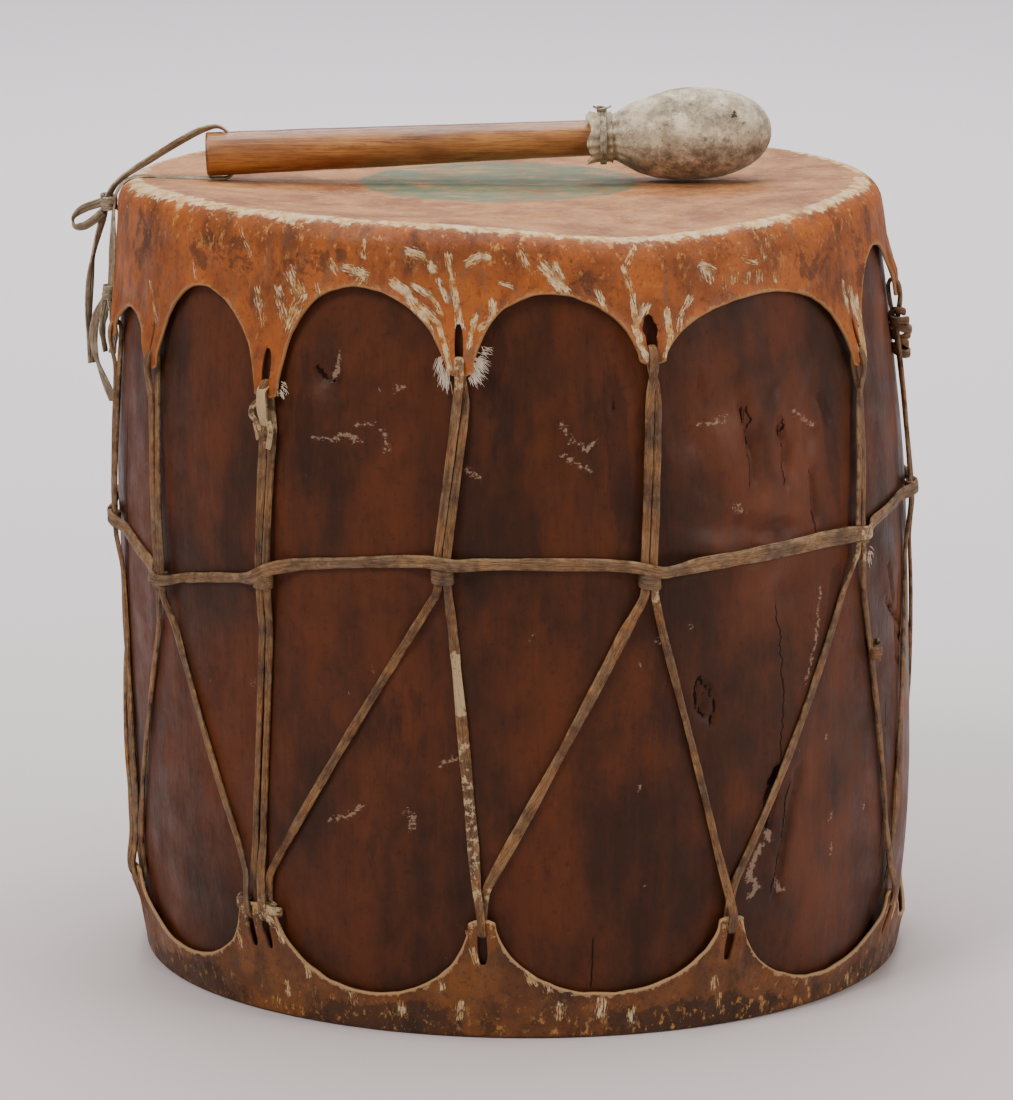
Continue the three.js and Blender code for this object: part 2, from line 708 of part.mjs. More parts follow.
function makeBulb() {
  const start = STICK_LENGTH;
  const neck = start + COLLAR_LENGTH;
  const bore = STICK_NECK_RADIUS + STICK_CLEARANCE;
  const socket = STICK_LENGTH + STICK_SOCKET_DEPTH + STICK_CLEARANCE;
  const profile = [
    new THREE.Vector2(0, socket),
    new THREE.Vector2(bore, socket),
    new THREE.Vector2(bore, start),
    new THREE.Vector2(COLLAR_RADIUS + 1.2, start),
    new THREE.Vector2(COLLAR_RADIUS, start + 4),
    new THREE.Vector2(COLLAR_RADIUS, neck - 2),
  ];
  const steps = BULB_STEPS;
  for (let i = 1; i <= steps; i++) {
    const turn = (Math.PI * i) / steps;
    const along = neck + (BULB_LENGTH * (1 - Math.cos(turn))) / 2;
    const swell = Math.sin(turn) ** BULB_FULLNESS * BULB_RADIUS;
    const nearNeck = turn < Math.PI / 2 ? COLLAR_RADIUS + 0.5 : 0;
    profile.push(new THREE.Vector2(i === steps ? 0 : Math.max(swell, nearNeck), along));
  }
  return toGeometry(toSolid(alongX(profile, BULB_SIDES)));
}

function makeBinding() {
  const ring = new THREE.TorusGeometry(COLLAR_RADIUS + BINDING_RADIUS + REST_GAP, BINDING_RADIUS, 5, 14);
  return ring.rotateY(Math.PI / 2).translate(STICK_LENGTH + COLLAR_LENGTH * 0.6, 0, 0);
}

// Straps

function strapSection(width, thickness) {
  const section = new THREE.Shape();
  for (let i = 0; i < STRAP_SIDES; i++) {
    const turn = (2 * Math.PI * (i + 0.5)) / STRAP_SIDES;
    const [x, y] = [(width / 2) * Math.cos(turn), (thickness / 2) * Math.sin(turn)];
    if (i === 0) section.moveTo(x, y);
    else section.lineTo(x, y);
  }
  section.closePath();
  return section;
}

function strapAlong(points, steps, width, thickness) {
  const extrudePath = new THREE.CatmullRomCurve3(points, false, "centripetal");
  return new THREE.ExtrudeGeometry(strapSection(width, thickness), { steps, extrudePath, bevelEnabled: false });
}

function wristStrap(room) {
  const wide = STRAP_WIDTH + 2 * room;
  const thick = STRAP_THICKNESS + 2 * room;
  return toSolid(strapAlong(STRAP_ROUTE, STRAP_STEPS, wide, thick));
}

// A knot's lump, with room in it for the strap that it holds.
function makeKnot({ at, half }, routes) {
  const ball = new THREE.OctahedronGeometry(1, 1);
  ball.scale(...half).translate(...at);
  const ends = routes.map((route) => toSolid(strapAlong(route, TIE_STEPS, TIE_WIDTH, TIE_THICKNESS)));
  return toGeometry(wasm.Manifold.union([toSolid(ball), ...ends]).subtract(wristStrap(REST_GAP)));
}

// Assembly

function finish(colour, roughness) {
  return new THREE.MeshStandardMaterial({ color: new THREE.Color(...colour), roughness, metalness: 0 });
}

const PAINTED_WOOD = finish([0.15, 0.045, 0.022], 0.55);
const PAINTED_HIDE = finish([0.36, 0.13, 0.035], 0.6);
const LACE_HIDE = finish([0.3, 0.19, 0.1], 0.65);
const STICK_WOOD = finish([0.45, 0.2, 0.07], 0.35);
const BEATER_HIDE = finish([0.5, 0.46, 0.38], 0.85);
const STRAP_HIDE = finish([0.4, 0.34, 0.25], 0.75);

function named(name, geometry, material) {
  const mesh = new THREE.Mesh(geometry, material);
  mesh.name = name;
  return mesh;
}

const drum = new THREE.Group();
drum.add(named("log_shell", makeLog(), PAINTED_WOOD));
drum.add(named("upper_skin", makeSkin(UPPER_TABS, 1), PAINTED_HIDE));
drum.add(named("lower_skin", makeSkin(LOWER_TABS, -1), PAINTED_HIDE));
drum.add(named("lacing_thong", makeLace(), LACE_HIDE));
drum.add(named("waist_thong", makeWaist(), LACE_HIDE));

drum.add(named("wrist_thong", toGeometry(wristStrap(0)), STRAP_HIDE));
drum.add(named("bow_knot", makeKnot(BOW_KNOT, [BOW_ROUTE]), STRAP_HIDE));
drum.add(named("tail_knot", makeKnot(TAIL_KNOT, TAIL_ROUTES), STRAP_HIDE));

const beater = new THREE.Group();
beater.position.set(BEATER_X, BEATER_Y, DRUM_HEIGHT + tailHeight);
beater.rotation.y = -beaterTilt;
beater.add(named("beater_stick", makeStick(), STICK_WOOD));
beater.add(named("beater_bulb", makeBulb(), BEATER_HIDE));
beater.add(named("beater_binding", makeBinding(), STRAP_HIDE));
drum.add(beater);

export default drum;
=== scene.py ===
"""A laced log drum with its beater lying across it, dressed and set up for a studio photograph."""

import itertools
import logging
import math
from collections.abc import Sequence
from dataclasses import dataclass, field
from enum import Enum

import bmesh
import bpy
import numpy as np
from mathutils import Matrix, Vector


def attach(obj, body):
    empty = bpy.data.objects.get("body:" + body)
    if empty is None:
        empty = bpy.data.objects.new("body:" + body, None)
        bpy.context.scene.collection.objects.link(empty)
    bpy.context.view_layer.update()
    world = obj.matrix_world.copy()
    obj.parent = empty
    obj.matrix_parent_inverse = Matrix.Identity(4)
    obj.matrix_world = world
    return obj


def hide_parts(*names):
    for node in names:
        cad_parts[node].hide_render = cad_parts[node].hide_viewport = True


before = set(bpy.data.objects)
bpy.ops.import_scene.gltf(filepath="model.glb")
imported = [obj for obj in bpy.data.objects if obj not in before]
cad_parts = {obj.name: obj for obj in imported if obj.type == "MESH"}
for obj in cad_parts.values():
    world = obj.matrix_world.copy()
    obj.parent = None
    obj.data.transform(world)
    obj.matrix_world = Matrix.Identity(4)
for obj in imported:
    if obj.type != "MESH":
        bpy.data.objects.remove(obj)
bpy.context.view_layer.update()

MM = 0.001
LOG = logging.getLogger("drum")
Array = np.ndarray
Piece = bpy.types.Object
Finish = bpy.types.Material
Output = bpy.types.NodeSocket
Colour = tuple[float, float, float, float]


class Slot(Enum):
    """The record's material slots."""

    PAINTED_WOOD = "painted_wood"
    PAINTED_HIDE = "painted_hide"
    LOWER_HIDE = "lower_hide"
    LACE_HIDE = "lace_hide"
    STICK_WOOD = "stick_wood"
    BEATER_HIDE = "beater_hide"
    STRAP_HIDE = "strap_hide"


class End(Enum):
    """The drum's two ends; the value points out of the drum along Z."""

    UPPER = 1
    LOWER = -1


# Colours and smooth numbers


def srgb(red: float, green: float, blue: float) -> Colour:
    """Returns the scene's linear colour for a screen colour given from 0 to 255."""

    def linear(level: float) -> float:
        """Returns one channel made linear."""
        share = level / 255
        return share / 12.92 if share <= 0.04045 else ((share + 0.055) / 1.055) ** 2.4

    return (linear(red), linear(green), linear(blue), 1.0)


def smooth(values: Array) -> Array:
    """Returns values clipped from 0 to 1 and eased at both ends."""
    held = np.clip(values, 0, 1)
    return held * held * (3 - 2 * held)


def from_front(bearing: Array | float) -> Array | float:
    """Returns bearings in radians brought to between half a turn left and half a turn right."""
    return (bearing + math.pi) % (2 * math.pi) - math.pi


def value_noise(points: Array, size: float, seed: int = 0) -> Array:
    """Smooth noise at points in space.

    Args:
        points: Places, with x, y and z on the last axis.
        size: Width of one bump, in the points' own units.
        seed: Number that sets the pattern.

    Returns:
        A value from -1 to 1 for each place.
    """
    scaled = np.asarray(points, float) / size
    cell = np.floor(scaled).astype(np.int64)
    ease = smooth(scaled - cell)
    total = np.zeros(scaled.shape[:-1])
    for corner in itertools.product((0, 1), repeat=3):
        at = cell + np.array(corner)
        mixed = (at[..., 0] * 73856093) ^ (at[..., 1] * 19349663) ^ (at[..., 2] * 83492791)
        mixed = (mixed ^ (seed * 40503 + 977)) & 0xFFFFFFFF
        mixed = ((mixed ^ (mixed >> 13)) * 1274126177) & 0xFFFFFFFF
        level = ((mixed ^ (mixed >> 16)) & 0xFFFF) / 32767.5 - 1
        weight = np.prod(np.where(np.array(corner) == 1, ease, 1 - ease), axis=-1)
        total += level * weight
    return total


def along_noise(count: int, step: float, seed: int) -> Array:
    """Returns smooth noise from -1 to 1 for count stations on a line, with bumps step stations long."""
    line = np.zeros((count, 3))
    line[:, 0] = np.arange(count)
    line[:, 1] = 0.5 + seed * 7.3
    return value_noise(line, step, seed)


def catmull(points: Sequence[Sequence[float]], per_span: int) -> Array:
    """A smooth open curve through points.

    Args:
        points: The places that it passes through.
        per_span: How many stations each span gets.

    Returns:
        Stations on the curve, both ends included.
    """
    known = np.array(points, float)
    padded = np.vstack([2 * known[0] - known[1], known, 2 * known[-1] - known[-2]])
    stations = []
    for a, b, c, d in zip(padded, padded[1:], padded[2:], padded[3:]):
        knots = np.cumsum([0.0, *(np.linalg.norm(q - p) ** 0.5 for p, q in ((a, b), (b, c), (c, d)))])
        for t in np.linspace(knots[1], knots[2], per_span, endpoint=False):
            ab = a + (b - a) * (t - knots[0]) / (knots[1] - knots[0])
            bc = b + (c - b) * (t - knots[1]) / (knots[2] - knots[1])
            cd = c + (d - c) * (t - knots[2]) / (knots[3] - knots[2])
            abc = ab + (bc - ab) * (t - knots[0]) / (knots[2] - knots[0])
            bcd = bc + (cd - bc) * (t - knots[1]) / (knots[3] - knots[1])
            stations.append(abc + (bcd - abc) * (t - knots[1]) / (knots[2] - knots[1]))
    return np.array([*stations, known[-1]])


# Mesh making


class MeshBuilder:
    """Collects grids of points into one mesh, with named values on its points."""

    def __init__(self) -> None:
        """Starts an empty mesh."""
        self.points: list[Array] = []
        self.faces: list[Array] = []
        self.values: list[dict[str, Array]] = []
        self.count = 0

    def grid(
        self,
        points: Array,
        close_rows: bool = False,
        close_columns: bool = True,
        keep: Array | None = None,
        **values: Array,
    ) -> None:
        """Adds a surface through rows and columns of points.

        Args:
            points: Places, in rows, columns and x, y, z.
            close_rows: Whether the last row joins the first.
            close_columns: Whether the last column joins the first.
            keep: Which faces to keep, by row and column, or None for all.
            **values: Named values, one for each point.
        """
        rows, columns = points.shape[:2]
        index = np.arange(rows * columns).reshape(rows, columns) + self.count
        if close_rows:
            index = np.vstack([index, index[:1]])
        if close_columns:
            index = np.hstack([index, index[:, :1]])
        quads = np.stack([index[:-1, :-1], index[:-1, 1:], index[1:, 1:], index[1:, :-1]], axis=-1)
        chosen = quads if keep is None else quads[keep[: quads.shape[0], : quads.shape[1]]]
        self.points.append(points.reshape(-1, 3))
        self.faces.append(chosen.reshape(-1, 4))
        self.values.append(
            {name: np.broadcast_to(v, (rows, columns)).reshape(-1) for name, v in values.items()}
        )
        self.count += rows * columns

    def sweep(
        self,
        centre: Array,
        wide: Array,
        width: Array | float,
        thickness: Array | float,
        sides: int = 10,
        closed: bool = False,
        squareness: float = 0.6,
        pale: Array | float = 0.0,
    ) -> None:
        """Adds a strap with rounded edges along a line.

        Args:
            centre: Stations along the strap's middle.
            wide: The direction of its width at each station.
            width: Its width at each station.
            thickness: Its thickness at each station.
            sides: How many points its section has.
            closed: Whether its end joins its start; otherwise its ends are closed.
            squareness: From 1, an ellipse, towards 0, a rectangle.
            pale: How bleached it is at each station, from 0 to 1.
        """
        count = len(centre)
        ahead = np.roll(centre, -1, 0) - np.roll(centre, 1, 0)
        if not closed:
            ahead[0] = centre[1] - centre[0]
            ahead[-1] = centre[-1] - centre[-2]
        ahead /= np.linalg.norm(ahead, axis=1)[:, None]
        across = np.broadcast_to(wide, centre.shape)
        across = across - ahead * np.sum(across * ahead, axis=1)[:, None]
        across = across / np.linalg.norm(across, axis=1)[:, None]
        thick = np.cross(ahead, across)
        turn = np.arange(sides) / sides * 2 * math.pi
        wave, rise = np.cos(turn), np.sin(turn)
        wave = np.sign(wave) * np.abs(wave) ** squareness
        rise = np.sign(rise) * np.abs(rise) ** squareness
        widths = np.broadcast_to(width, (count,))[:, None, None] / 2
        heights = np.broadcast_to(thickness, (count,))[:, None, None] / 2
        rings = centre[:, None, :] + across[:, None, :] * wave[None, :, None] * widths
        rings = rings + thick[:, None, :] * rise[None, :, None] * heights
        steps = np.linalg.norm(np.diff(centre, axis=0), axis=1)
        run = np.concatenate([[0.0], np.cumsum(steps)])[:, None]
        bleached = np.broadcast_to(pale, (count,))[:, None]
        if not closed:
            caps = [np.repeat(centre[i][None, None, :], sides, axis=1) for i in (0, -1)]
            rings = np.concatenate([caps[0], rings, caps[1]])
            run = np.concatenate([run[:1], run, run[-1:]])
            bleached = np.concatenate([bleached[:1], bleached, bleached[-1:]])
        self.grid(rings, close_rows=closed, run=run, side=wave[None, :], pale=bleached)

    def build(self, name: str, material: Finish) -> Piece:
        """Makes the object.

        Args:
            name: The object's name.
            material: Its finish.

        Returns:
            The new object, smooth and linked to the scene.
        """
        mesh = bpy.data.meshes.new(name)
        mesh.from_pydata(np.vstack(self.points), [], np.vstack(self.faces))
        for key in sorted({key for part in self.values for key in part}):
            parts = [part.get(key, np.zeros(len(points))) for part, points in zip(self.values, self.points)]
            mesh.attributes.new(key, "FLOAT", "POINT").data.foreach_set("value", np.concatenate(parts))
        mesh.shade_smooth()
        mesh.materials.append(material)
        made = bpy.data.objects.new(name, mesh)
        bpy.context.scene.collection.objects.link(made)
        weld_ends(mesh)
        return made


def weld_ends(mesh: bpy.types.Mesh, reach: float = 1e-7) -> None:
    """Joins points that lie in one place, such as those of a closed end."""
    work = bmesh.new()
    work.from_mesh(mesh)
    bmesh.ops.remove_doubles(work, verts=work.verts, dist=reach)
    bmesh.ops.recalc_face_normals(work, faces=work.faces)
    work.to_mesh(mesh)
    work.free()


def apply_modifiers(piece: Piece) -> None:
    """Replaces a piece's mesh by its mesh with every modifier worked in."""
    bpy.context.view_layer.update()
    graph = bpy.context.evaluated_depsgraph_get()
    made = bpy.data.meshes.new_from_object(piece.evaluated_get(graph))
    piece.modifiers.clear()
    piece.data = made


def settle(piece: Piece, slot: Slot, *nodes: str) -> Piece:
    """Lets a piece stand for CAD nodes.

    Args:
        piece: The new piece.
        slot: The record's slot of its finish; not used.
        *nodes: The nodes that it stands for.

    Returns:
        The piece.
    """
    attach(piece, "root")
    if nodes:
        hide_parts(*nodes)
    LOG.info("%s: %d faces", piece.name, len(piece.data.polygons))
    return piece


# The log's form, and places beside it


@dataclass(frozen=True)
class LogForm:
    """The hollowed log's outer form, in metres, which everything on it follows."""

    height: float = 0.421
    belly: float = 0.2152
    foot_draw: float = 0.011
    shoulder_draw: float = 0.013
    lean: float = 0.013
    wave: float = 0.0008
    wall: float = 0.0312
    foot_share: float = 0.3
    shoulder_share: float = 0.6
    foot_power: float = 2.2
    shoulder_power: float = 1.4
    lean_power: float = 1.6

    def radius(self, bearing: Array, z: Array) -> Array:
        """Returns the log's radius at a bearing in radians and a height."""
        share = np.clip(z / self.height, 0, 1)
        foot = np.maximum(0, 1 - share / self.foot_share) ** self.foot_power
        shoulder = np.maximum(0, (share - self.shoulder_share) / (1 - self.shoulder_share))
        drawn = self.belly - self.foot_draw * foot - self.shoulder_draw * shoulder**self.shoulder_power
        ripple = np.sin(2 * bearing + 0.9) + 0.6 * np.sin(3 * bearing - z / self.height)
        return drawn + self.wave * ripple

    def middle(self, z: Array) -> Array:
        """Returns how far the log's middle leans along X at a height."""
        return -self.lean * np.clip(z / self.height, 0, 1) ** self.lean_power

    def beside(self, bearing: Array, z: Array, out: Array | float, along: Array | float = 0.0) -> Array:
        """Places beside the log.

        Args:
            bearing: Bearing from the front, in radians.
            z: Height.
            out: How far out from the bare wood.
            along: How far on along the circle.

        Returns:
            The places, with x, y and z on the last axis.
        """
        bearing, z = np.broadcast_arrays(np.asarray(bearing, float), np.asarray(z, float))
        radius = self.radius(bearing, z) + out
        turned = bearing + np.asarray(along) / radius
        x = self.middle(z) + radius * np.sin(turned)
        return np.stack([x, -radius * np.cos(turned), z + 0 * x], axis=-1)

    def follow(self, line: Array) -> tuple[Array, Array]:
        """Follows a line beside the log.

        Args:
            line: Bearing, height and distance out of each station.

        Returns:
            The places of the stations, and the way outwards at each.
        """
        places = self.beside(line[:, 0], line[:, 1], line[:, 2])
        outward = self.beside(line[:, 0], line[:, 1], line[:, 2] + 1 * MM) - places
        return places, outward / np.linalg.norm(outward, axis=1)[:, None]


FORM = LogForm()


@dataclass(frozen=True)
class Mark:
    """A patch on the drum's side.

    Attributes:
        bearing: Bearing of its middle from the front, in degrees.
        height: Height of its middle, in mm.
        length: Its length, in mm.
        width: Its width, in mm.
        turn: Turn of its length from upright, in degrees.
        strength: Its cover at the middle.
    """

    bearing: float
    height: float
    length: float
    width: float
    turn: float = 0.0
    strength: float = 1.0

    def cover(self, bearing: Array, z: Array) -> Array:
        """Returns how much of the patch lies on each place, given in radians and metres."""
        around = (np.degrees(bearing) - self.bearing) * math.radians(1) * FORM.belly / MM
        up = z / MM - self.height
        lean = math.radians(self.turn)
        length_way = (up * math.cos(lean) + around * math.sin(lean)) / (self.length / 2)
        width_way = (around * math.cos(lean) - up * math.sin(lean)) / (self.width / 2)
        return self.strength * smooth(1.4 - 1.1 * np.hypot(length_way, width_way))


@dataclass(frozen=True)
class Stroke:
    """A long mark on the drum's side.

    Attributes:
        course: The bearings in degrees and heights in mm that it passes through.
        width: Its width, in mm.
        strength: Its cover at the middle.
    """

    course: tuple[tuple[float, float], ...]
    width: float
    strength: float = 1.0

    def nearest(self, bearing: Array, z: Array) -> tuple[Array, Array]:
        """Measures how places lie to the stroke.

        Args:
            bearing: Bearings of the places, in radians.
            z: Their heights, in metres.

        Returns:
            Each place's distance from the stroke in mm, and the turn from upright of the nearest part.
        """
        scale = math.radians(1) * FORM.belly / MM
        around = np.degrees(bearing) * scale
        up = z / MM
        shape = np.broadcast(around, up).shape
        least = np.full(shape, 1e9)
        way = np.zeros(shape)
        for (b0, z0), (b1, z1) in zip(self.course, self.course[1:]):
            run = np.array([(b1 - b0) * scale, z1 - z0])
            share = ((around - b0 * scale) * run[0] + (up - z0) * run[1]) / max(run @ run, 1e-9)
            share = np.clip(share, 0, 1)
            off = np.hypot(around - b0 * scale - share * run[0], up - z0 - share * run[1])
            turned = math.atan(run[0] / run[1]) if abs(run[1]) > 1e-6 else math.pi / 2
            way = np.where(off < least, turned, way)
            least = np.minimum(off, least)
        return least, way

    def cover(self, bearing: Array, z: Array) -> Array:
        """Returns how much of the stroke lies on each place, given in radians and metres."""
        off, _ = self.nearest(bearing, z)
        return self.strength * smooth(1.35 - off / (self.width / 2 + 0.5))


def painted(marks: Sequence[Mark | Stroke], bearing: Array, z: Array) -> Array:
    """Returns the greatest cover of any of the marks at each place."""
    total = np.zeros(np.broadcast(bearing, z).shape)
    for mark in marks:
        total = np.maximum(total, mark.cover(bearing, z))
    return total


def stroke_way(strokes: Sequence[Stroke], bearing: Array, z: Array) -> Array:
    """Returns the turn from upright of the nearest stroke at each place, in radians."""
    shape = np.broadcast(bearing, z).shape
    least = np.full(shape, 40.0)
    way = np.zeros(shape)
    for stroke in strokes:
        off, turned = stroke.nearest(bearing, z)
        way = np.where(off < least, turned, way)
        least = np.minimum(least, off)
    return way


# Node trees


class Nodes:
    """Short ways to add and join the nodes of one tree."""

    def __init__(self, tree: bpy.types.NodeTree) -> None:
        """Works on a tree."""
        self.tree = tree

    def add(self, kind: str, inputs: dict | None = None, **settings: object) -> bpy.types.Node:
        """Adds a node.

        Args:
            kind: Its type name.
            inputs: Values or sockets for its inputs, by name or number.
            **settings: Its other settings.

        Returns:
            The node.
        """
        node = self.tree.nodes.new(kind)
        for key, value in settings.items():
            setattr(node, key, value)
        for key, value in (inputs or {}).items():
            self.feed(node.inputs[key], value)
        return node

    def feed(self, socket: Output, value: object) -> None:
        """Joins a socket to an input, or sets the input's value."""
        if isinstance(value, Output):
            self.tree.links.new(value, socket)
        else:
            socket.default_value = value

    def math(self, operation: str, *values: object, clamp: bool = False) -> Output:
        """Returns the result of a math node on values or sockets."""
        node = self.add("ShaderNodeMath", dict(enumerate(values)), operation=operation, use_clamp=clamp)
        return node.outputs[0]

    def times(self, first: object, second: object) -> Output:
        """Returns the product of two values."""
        return self.math("MULTIPLY", first, second)

    def plus(self, first: object, second: object) -> Output:
        """Returns the sum of two values."""
        return self.math("ADD", first, second)

    def minus(self, first: object, second: object) -> Output:
        """Returns the first value less the second."""
        return self.math("SUBTRACT", first, second)

    def larger(self, first: object, second: object) -> Output:
        """Returns the larger of two values."""
        return self.math("MAXIMUM", first, second)

    def mix(self, share: object, low: object, high: object, blend: str = "MIX") -> Output:
        """Returns the mix of two colours by a share."""
        node = self.add("ShaderNodeMix", {0: share, 6: low, 7: high}, data_type="RGBA", blend_type=blend)
        return node.outputs[2]

    def spread(
        self, value: object, low: float, high: float, to_low: float = 0.0, to_high: float = 1.0
    ) -> Output:
        """Returns a value spread from one range to another, smoothly and held to its ends."""
        inputs = {0: value, 1: low, 2: high, 3: to_low, 4: to_high}
        node = self.add("ShaderNodeMapRange", inputs, interpolation_type="SMOOTHSTEP")
        return node.outputs[0]

    def noise(self, vector: object, scale: float, detail: float = 4.0, rough: float = 0.55) -> Output:
        """Returns noise from 0 to 1 at a vector."""
        inputs = {"Vector": vector, "Scale": scale, "Detail": detail, "Roughness": rough}
        return self.add("ShaderNodeTexNoise", inputs).outputs["Fac"]

    def patches(
        self, vector: object, scale: float, detail: float, rough: float, low: float, high: float
    ) -> Output:
        """Returns patches: noise at a vector, cut softly between two levels."""
        return self.spread(self.noise(vector, scale, detail, rough), low, high)

    def tint(self, colour: object, other: object, mask: object, share: float) -> Output:
        """Returns a colour mixed with another where a mask says, by a share at most."""
        return self.mix(self.times(mask, share), colour, other)

    def stretched(self, vector: object, scale: tuple[float, float, float]) -> Output:
        """Returns a vector multiplied by a scale for each axis."""
        node = self.add("ShaderNodeVectorMath", {0: vector, 1: scale}, operation="MULTIPLY")
        return node.outputs[0]

    def value_of(self, name: str) -> Output:
        """Returns a named value of the mesh's points."""
        return self.add(
            "ShaderNodeAttribute", attribute_name=name, attribute_type="GEOMETRY"
        ).outputs["Fac"]

    def place(self) -> Output:
        """Returns the place in the piece's own frame, in metres."""
        return self.add("ShaderNodeTexCoord").outputs["Object"]

    def effect(self, group: bpy.types.NodeTree, output: str, inputs: dict) -> Output:
        """Returns an output of a shared effect, with these inputs."""
        node = self.add("ShaderNodeGroup", node_tree=group)
        for key, value in inputs.items():
            self.feed(node.inputs[key], value)
        return node.outputs[output]


class Socket(Enum):
    """Kinds of socket on a shared effect."""

    NUMBER = "NodeSocketFloat"
    COLOUR = "NodeSocketColor"
    VECTOR = "NodeSocketVector"


class Effects:
    """The shared effects that more than one finish uses."""

    def __init__(self) -> None:
        """Builds each effect once."""
        self.ragged = self._ragged()
        self.mottle = self._mottle()
        self.grain = self._grain()
        self.drum_place = self._drum_place()
        self.crack = self._crack()
        self.streak = self._streak()

    def torn(self, nodes: Nodes, at: object, name: str, scale: float, tear: float) -> Output:
        """Returns a named value of the mesh as a patch with torn edges."""
        inputs = {"Vector": at, "Cover": nodes.value_of(name), "Scale": scale, "Tear": tear}
        return nodes.effect(self.ragged, "Mask", inputs)

    def mottled(self, nodes: Nodes, at: object, scale: float, low: Colour, high: Colour) -> Output:
        """Returns two colours blended in cloudy patches."""
        return nodes.effect(self.mottle, "Colour", {"Vector": at, "Scale": scale, "Low": low, "High": high})

    def fibres(self, nodes: Nodes, at: object, scale: float) -> bpy.types.bpy_prop_collection:
        """Returns the coarse and the fine value of long fibres, by name."""
        return nodes.add("ShaderNodeGroup", {"Vector": at, "Scale": scale}, node_tree=self.grain).outputs

    @staticmethod
    def _group(name: str, takes: dict[str, Socket], gives: dict[str, Socket]) -> tuple:
        """Starts a group.

        Args:
            name: Its name.
            takes: Its inputs, by name.
            gives: Its outputs, by name.

        Returns:
            The tree, its node helper, and its inputs and outputs by name.
        """
        tree = bpy.data.node_groups.new(name, "ShaderNodeTree")
        for key, kind in takes.items():
            tree.interface.new_socket(key, in_out="INPUT", socket_type=kind.value)
        for key, kind in gives.items():
            tree.interface.new_socket(key, in_out="OUTPUT", socket_type=kind.value)
        nodes = Nodes(tree)
        return tree, nodes, nodes.add("NodeGroupInput").outputs, nodes.add("NodeGroupOutput").inputs

    def _ragged(self) -> bpy.types.NodeTree:
        """Returns an effect that turns a soft mask into a patch with torn, scratchy edges."""
        takes = {
            "Vector": Socket.VECTOR,
            "Cover": Socket.NUMBER,
            "Scale": Socket.NUMBER,
            "Tear": Socket.NUMBER,
        }
        tree, nodes, given, made = self._group("ragged patch", takes, {"Mask": Socket.NUMBER})
        inputs = {"Vector": given["Vector"], "Scale": given["Scale"], "Detail": 6.0, "Roughness": 0.72}
        coarse = nodes.add("ShaderNodeTexNoise", inputs).outputs["Fac"]
        contrast = nodes.spread(coarse, 0.3, 0.7, -0.5, 0.5)
        torn = nodes.times(contrast, given["Tear"])
        whole = nodes.plus(given["Cover"], torn)
        held = nodes.times(nodes.spread(whole, 0.44, 0.66), nodes.spread(given["Cover"], 0.03, 0.2))
        nodes.feed(made["Mask"], held)
        return tree

    def _mottle(self) -> bpy.types.NodeTree:
        """Returns an effect that blends two colours in cloudy patches."""
        takes = {
            "Vector": Socket.VECTOR,
            "Scale": Socket.NUMBER,
            "Low": Socket.COLOUR,
            "High": Socket.COLOUR,
        }
        tree, nodes, given, made = self._group("mottle", takes, {"Colour": Socket.COLOUR})
        inputs = {"Vector": given["Vector"], "Scale": given["Scale"], "Detail": 6.0, "Roughness": 0.62}
        cloud = nodes.spread(nodes.add("ShaderNodeTexNoise", inputs).outputs["Fac"], 0.34, 0.66)
        nodes.feed(made["Colour"], nodes.mix(cloud, given["Low"], given["High"]))
        return tree

    def _grain(self) -> bpy.types.NodeTree:
        """Returns an effect of long fibres, with a coarse and a fine value."""
        takes = {"Vector": Socket.VECTOR, "Scale": Socket.NUMBER}
        gives = {"Coarse": Socket.NUMBER, "Fine": Socket.NUMBER}
        tree, nodes, given, made = self._group("grain", takes, gives)
        coarse = nodes.add(
            "ShaderNodeTexNoise",
            {"Vector": given["Vector"], "Scale": given["Scale"], "Detail": 3.0, "Distortion": 0.4},
        )
        finer = nodes.times(given["Scale"], 4.0)
        fine = nodes.add(
            "ShaderNodeTexNoise",
            {"Vector": given["Vector"], "Scale": finer, "Detail": 5.0, "Roughness": 0.7},
        )
        nodes.feed(made["Coarse"], nodes.spread(coarse.outputs["Fac"], 0.3, 0.7))
        nodes.feed(made["Fine"], fine.outputs["Fac"])
        return tree

    def _drum_place(self) -> bpy.types.NodeTree:
        """Returns an effect that gives a place's bearing in degrees, and height and distance out in mm."""
        gives = {"Bearing": Socket.NUMBER, "Height": Socket.NUMBER, "Distance": Socket.NUMBER}
        tree, nodes, given, made = self._group("place on the drum", {"Vector": Socket.VECTOR}, gives)
        parts = nodes.add("ShaderNodeSeparateXYZ", {0: given["Vector"]}).outputs
        share = nodes.math("DIVIDE", parts["Z"], FORM.height, clamp=True)
        leaning = nodes.times(nodes.math("POWER", share, FORM.lean_power), FORM.lean)
        x = nodes.plus(parts["X"], leaning)
        front = nodes.times(parts["Y"], -1.0)
        nodes.feed(made["Bearing"], nodes.times(nodes.math("ARCTAN2", x, front), math.degrees(1)))
        nodes.feed(made["Height"], nodes.times(parts["Z"], 1 / MM))
        squares = nodes.plus(nodes.math("POWER", x, 2.0), nodes.math("POWER", front, 2.0))
        nodes.feed(made["Distance"], nodes.times(nodes.math("SQRT", squares), 1 / MM))
        return tree

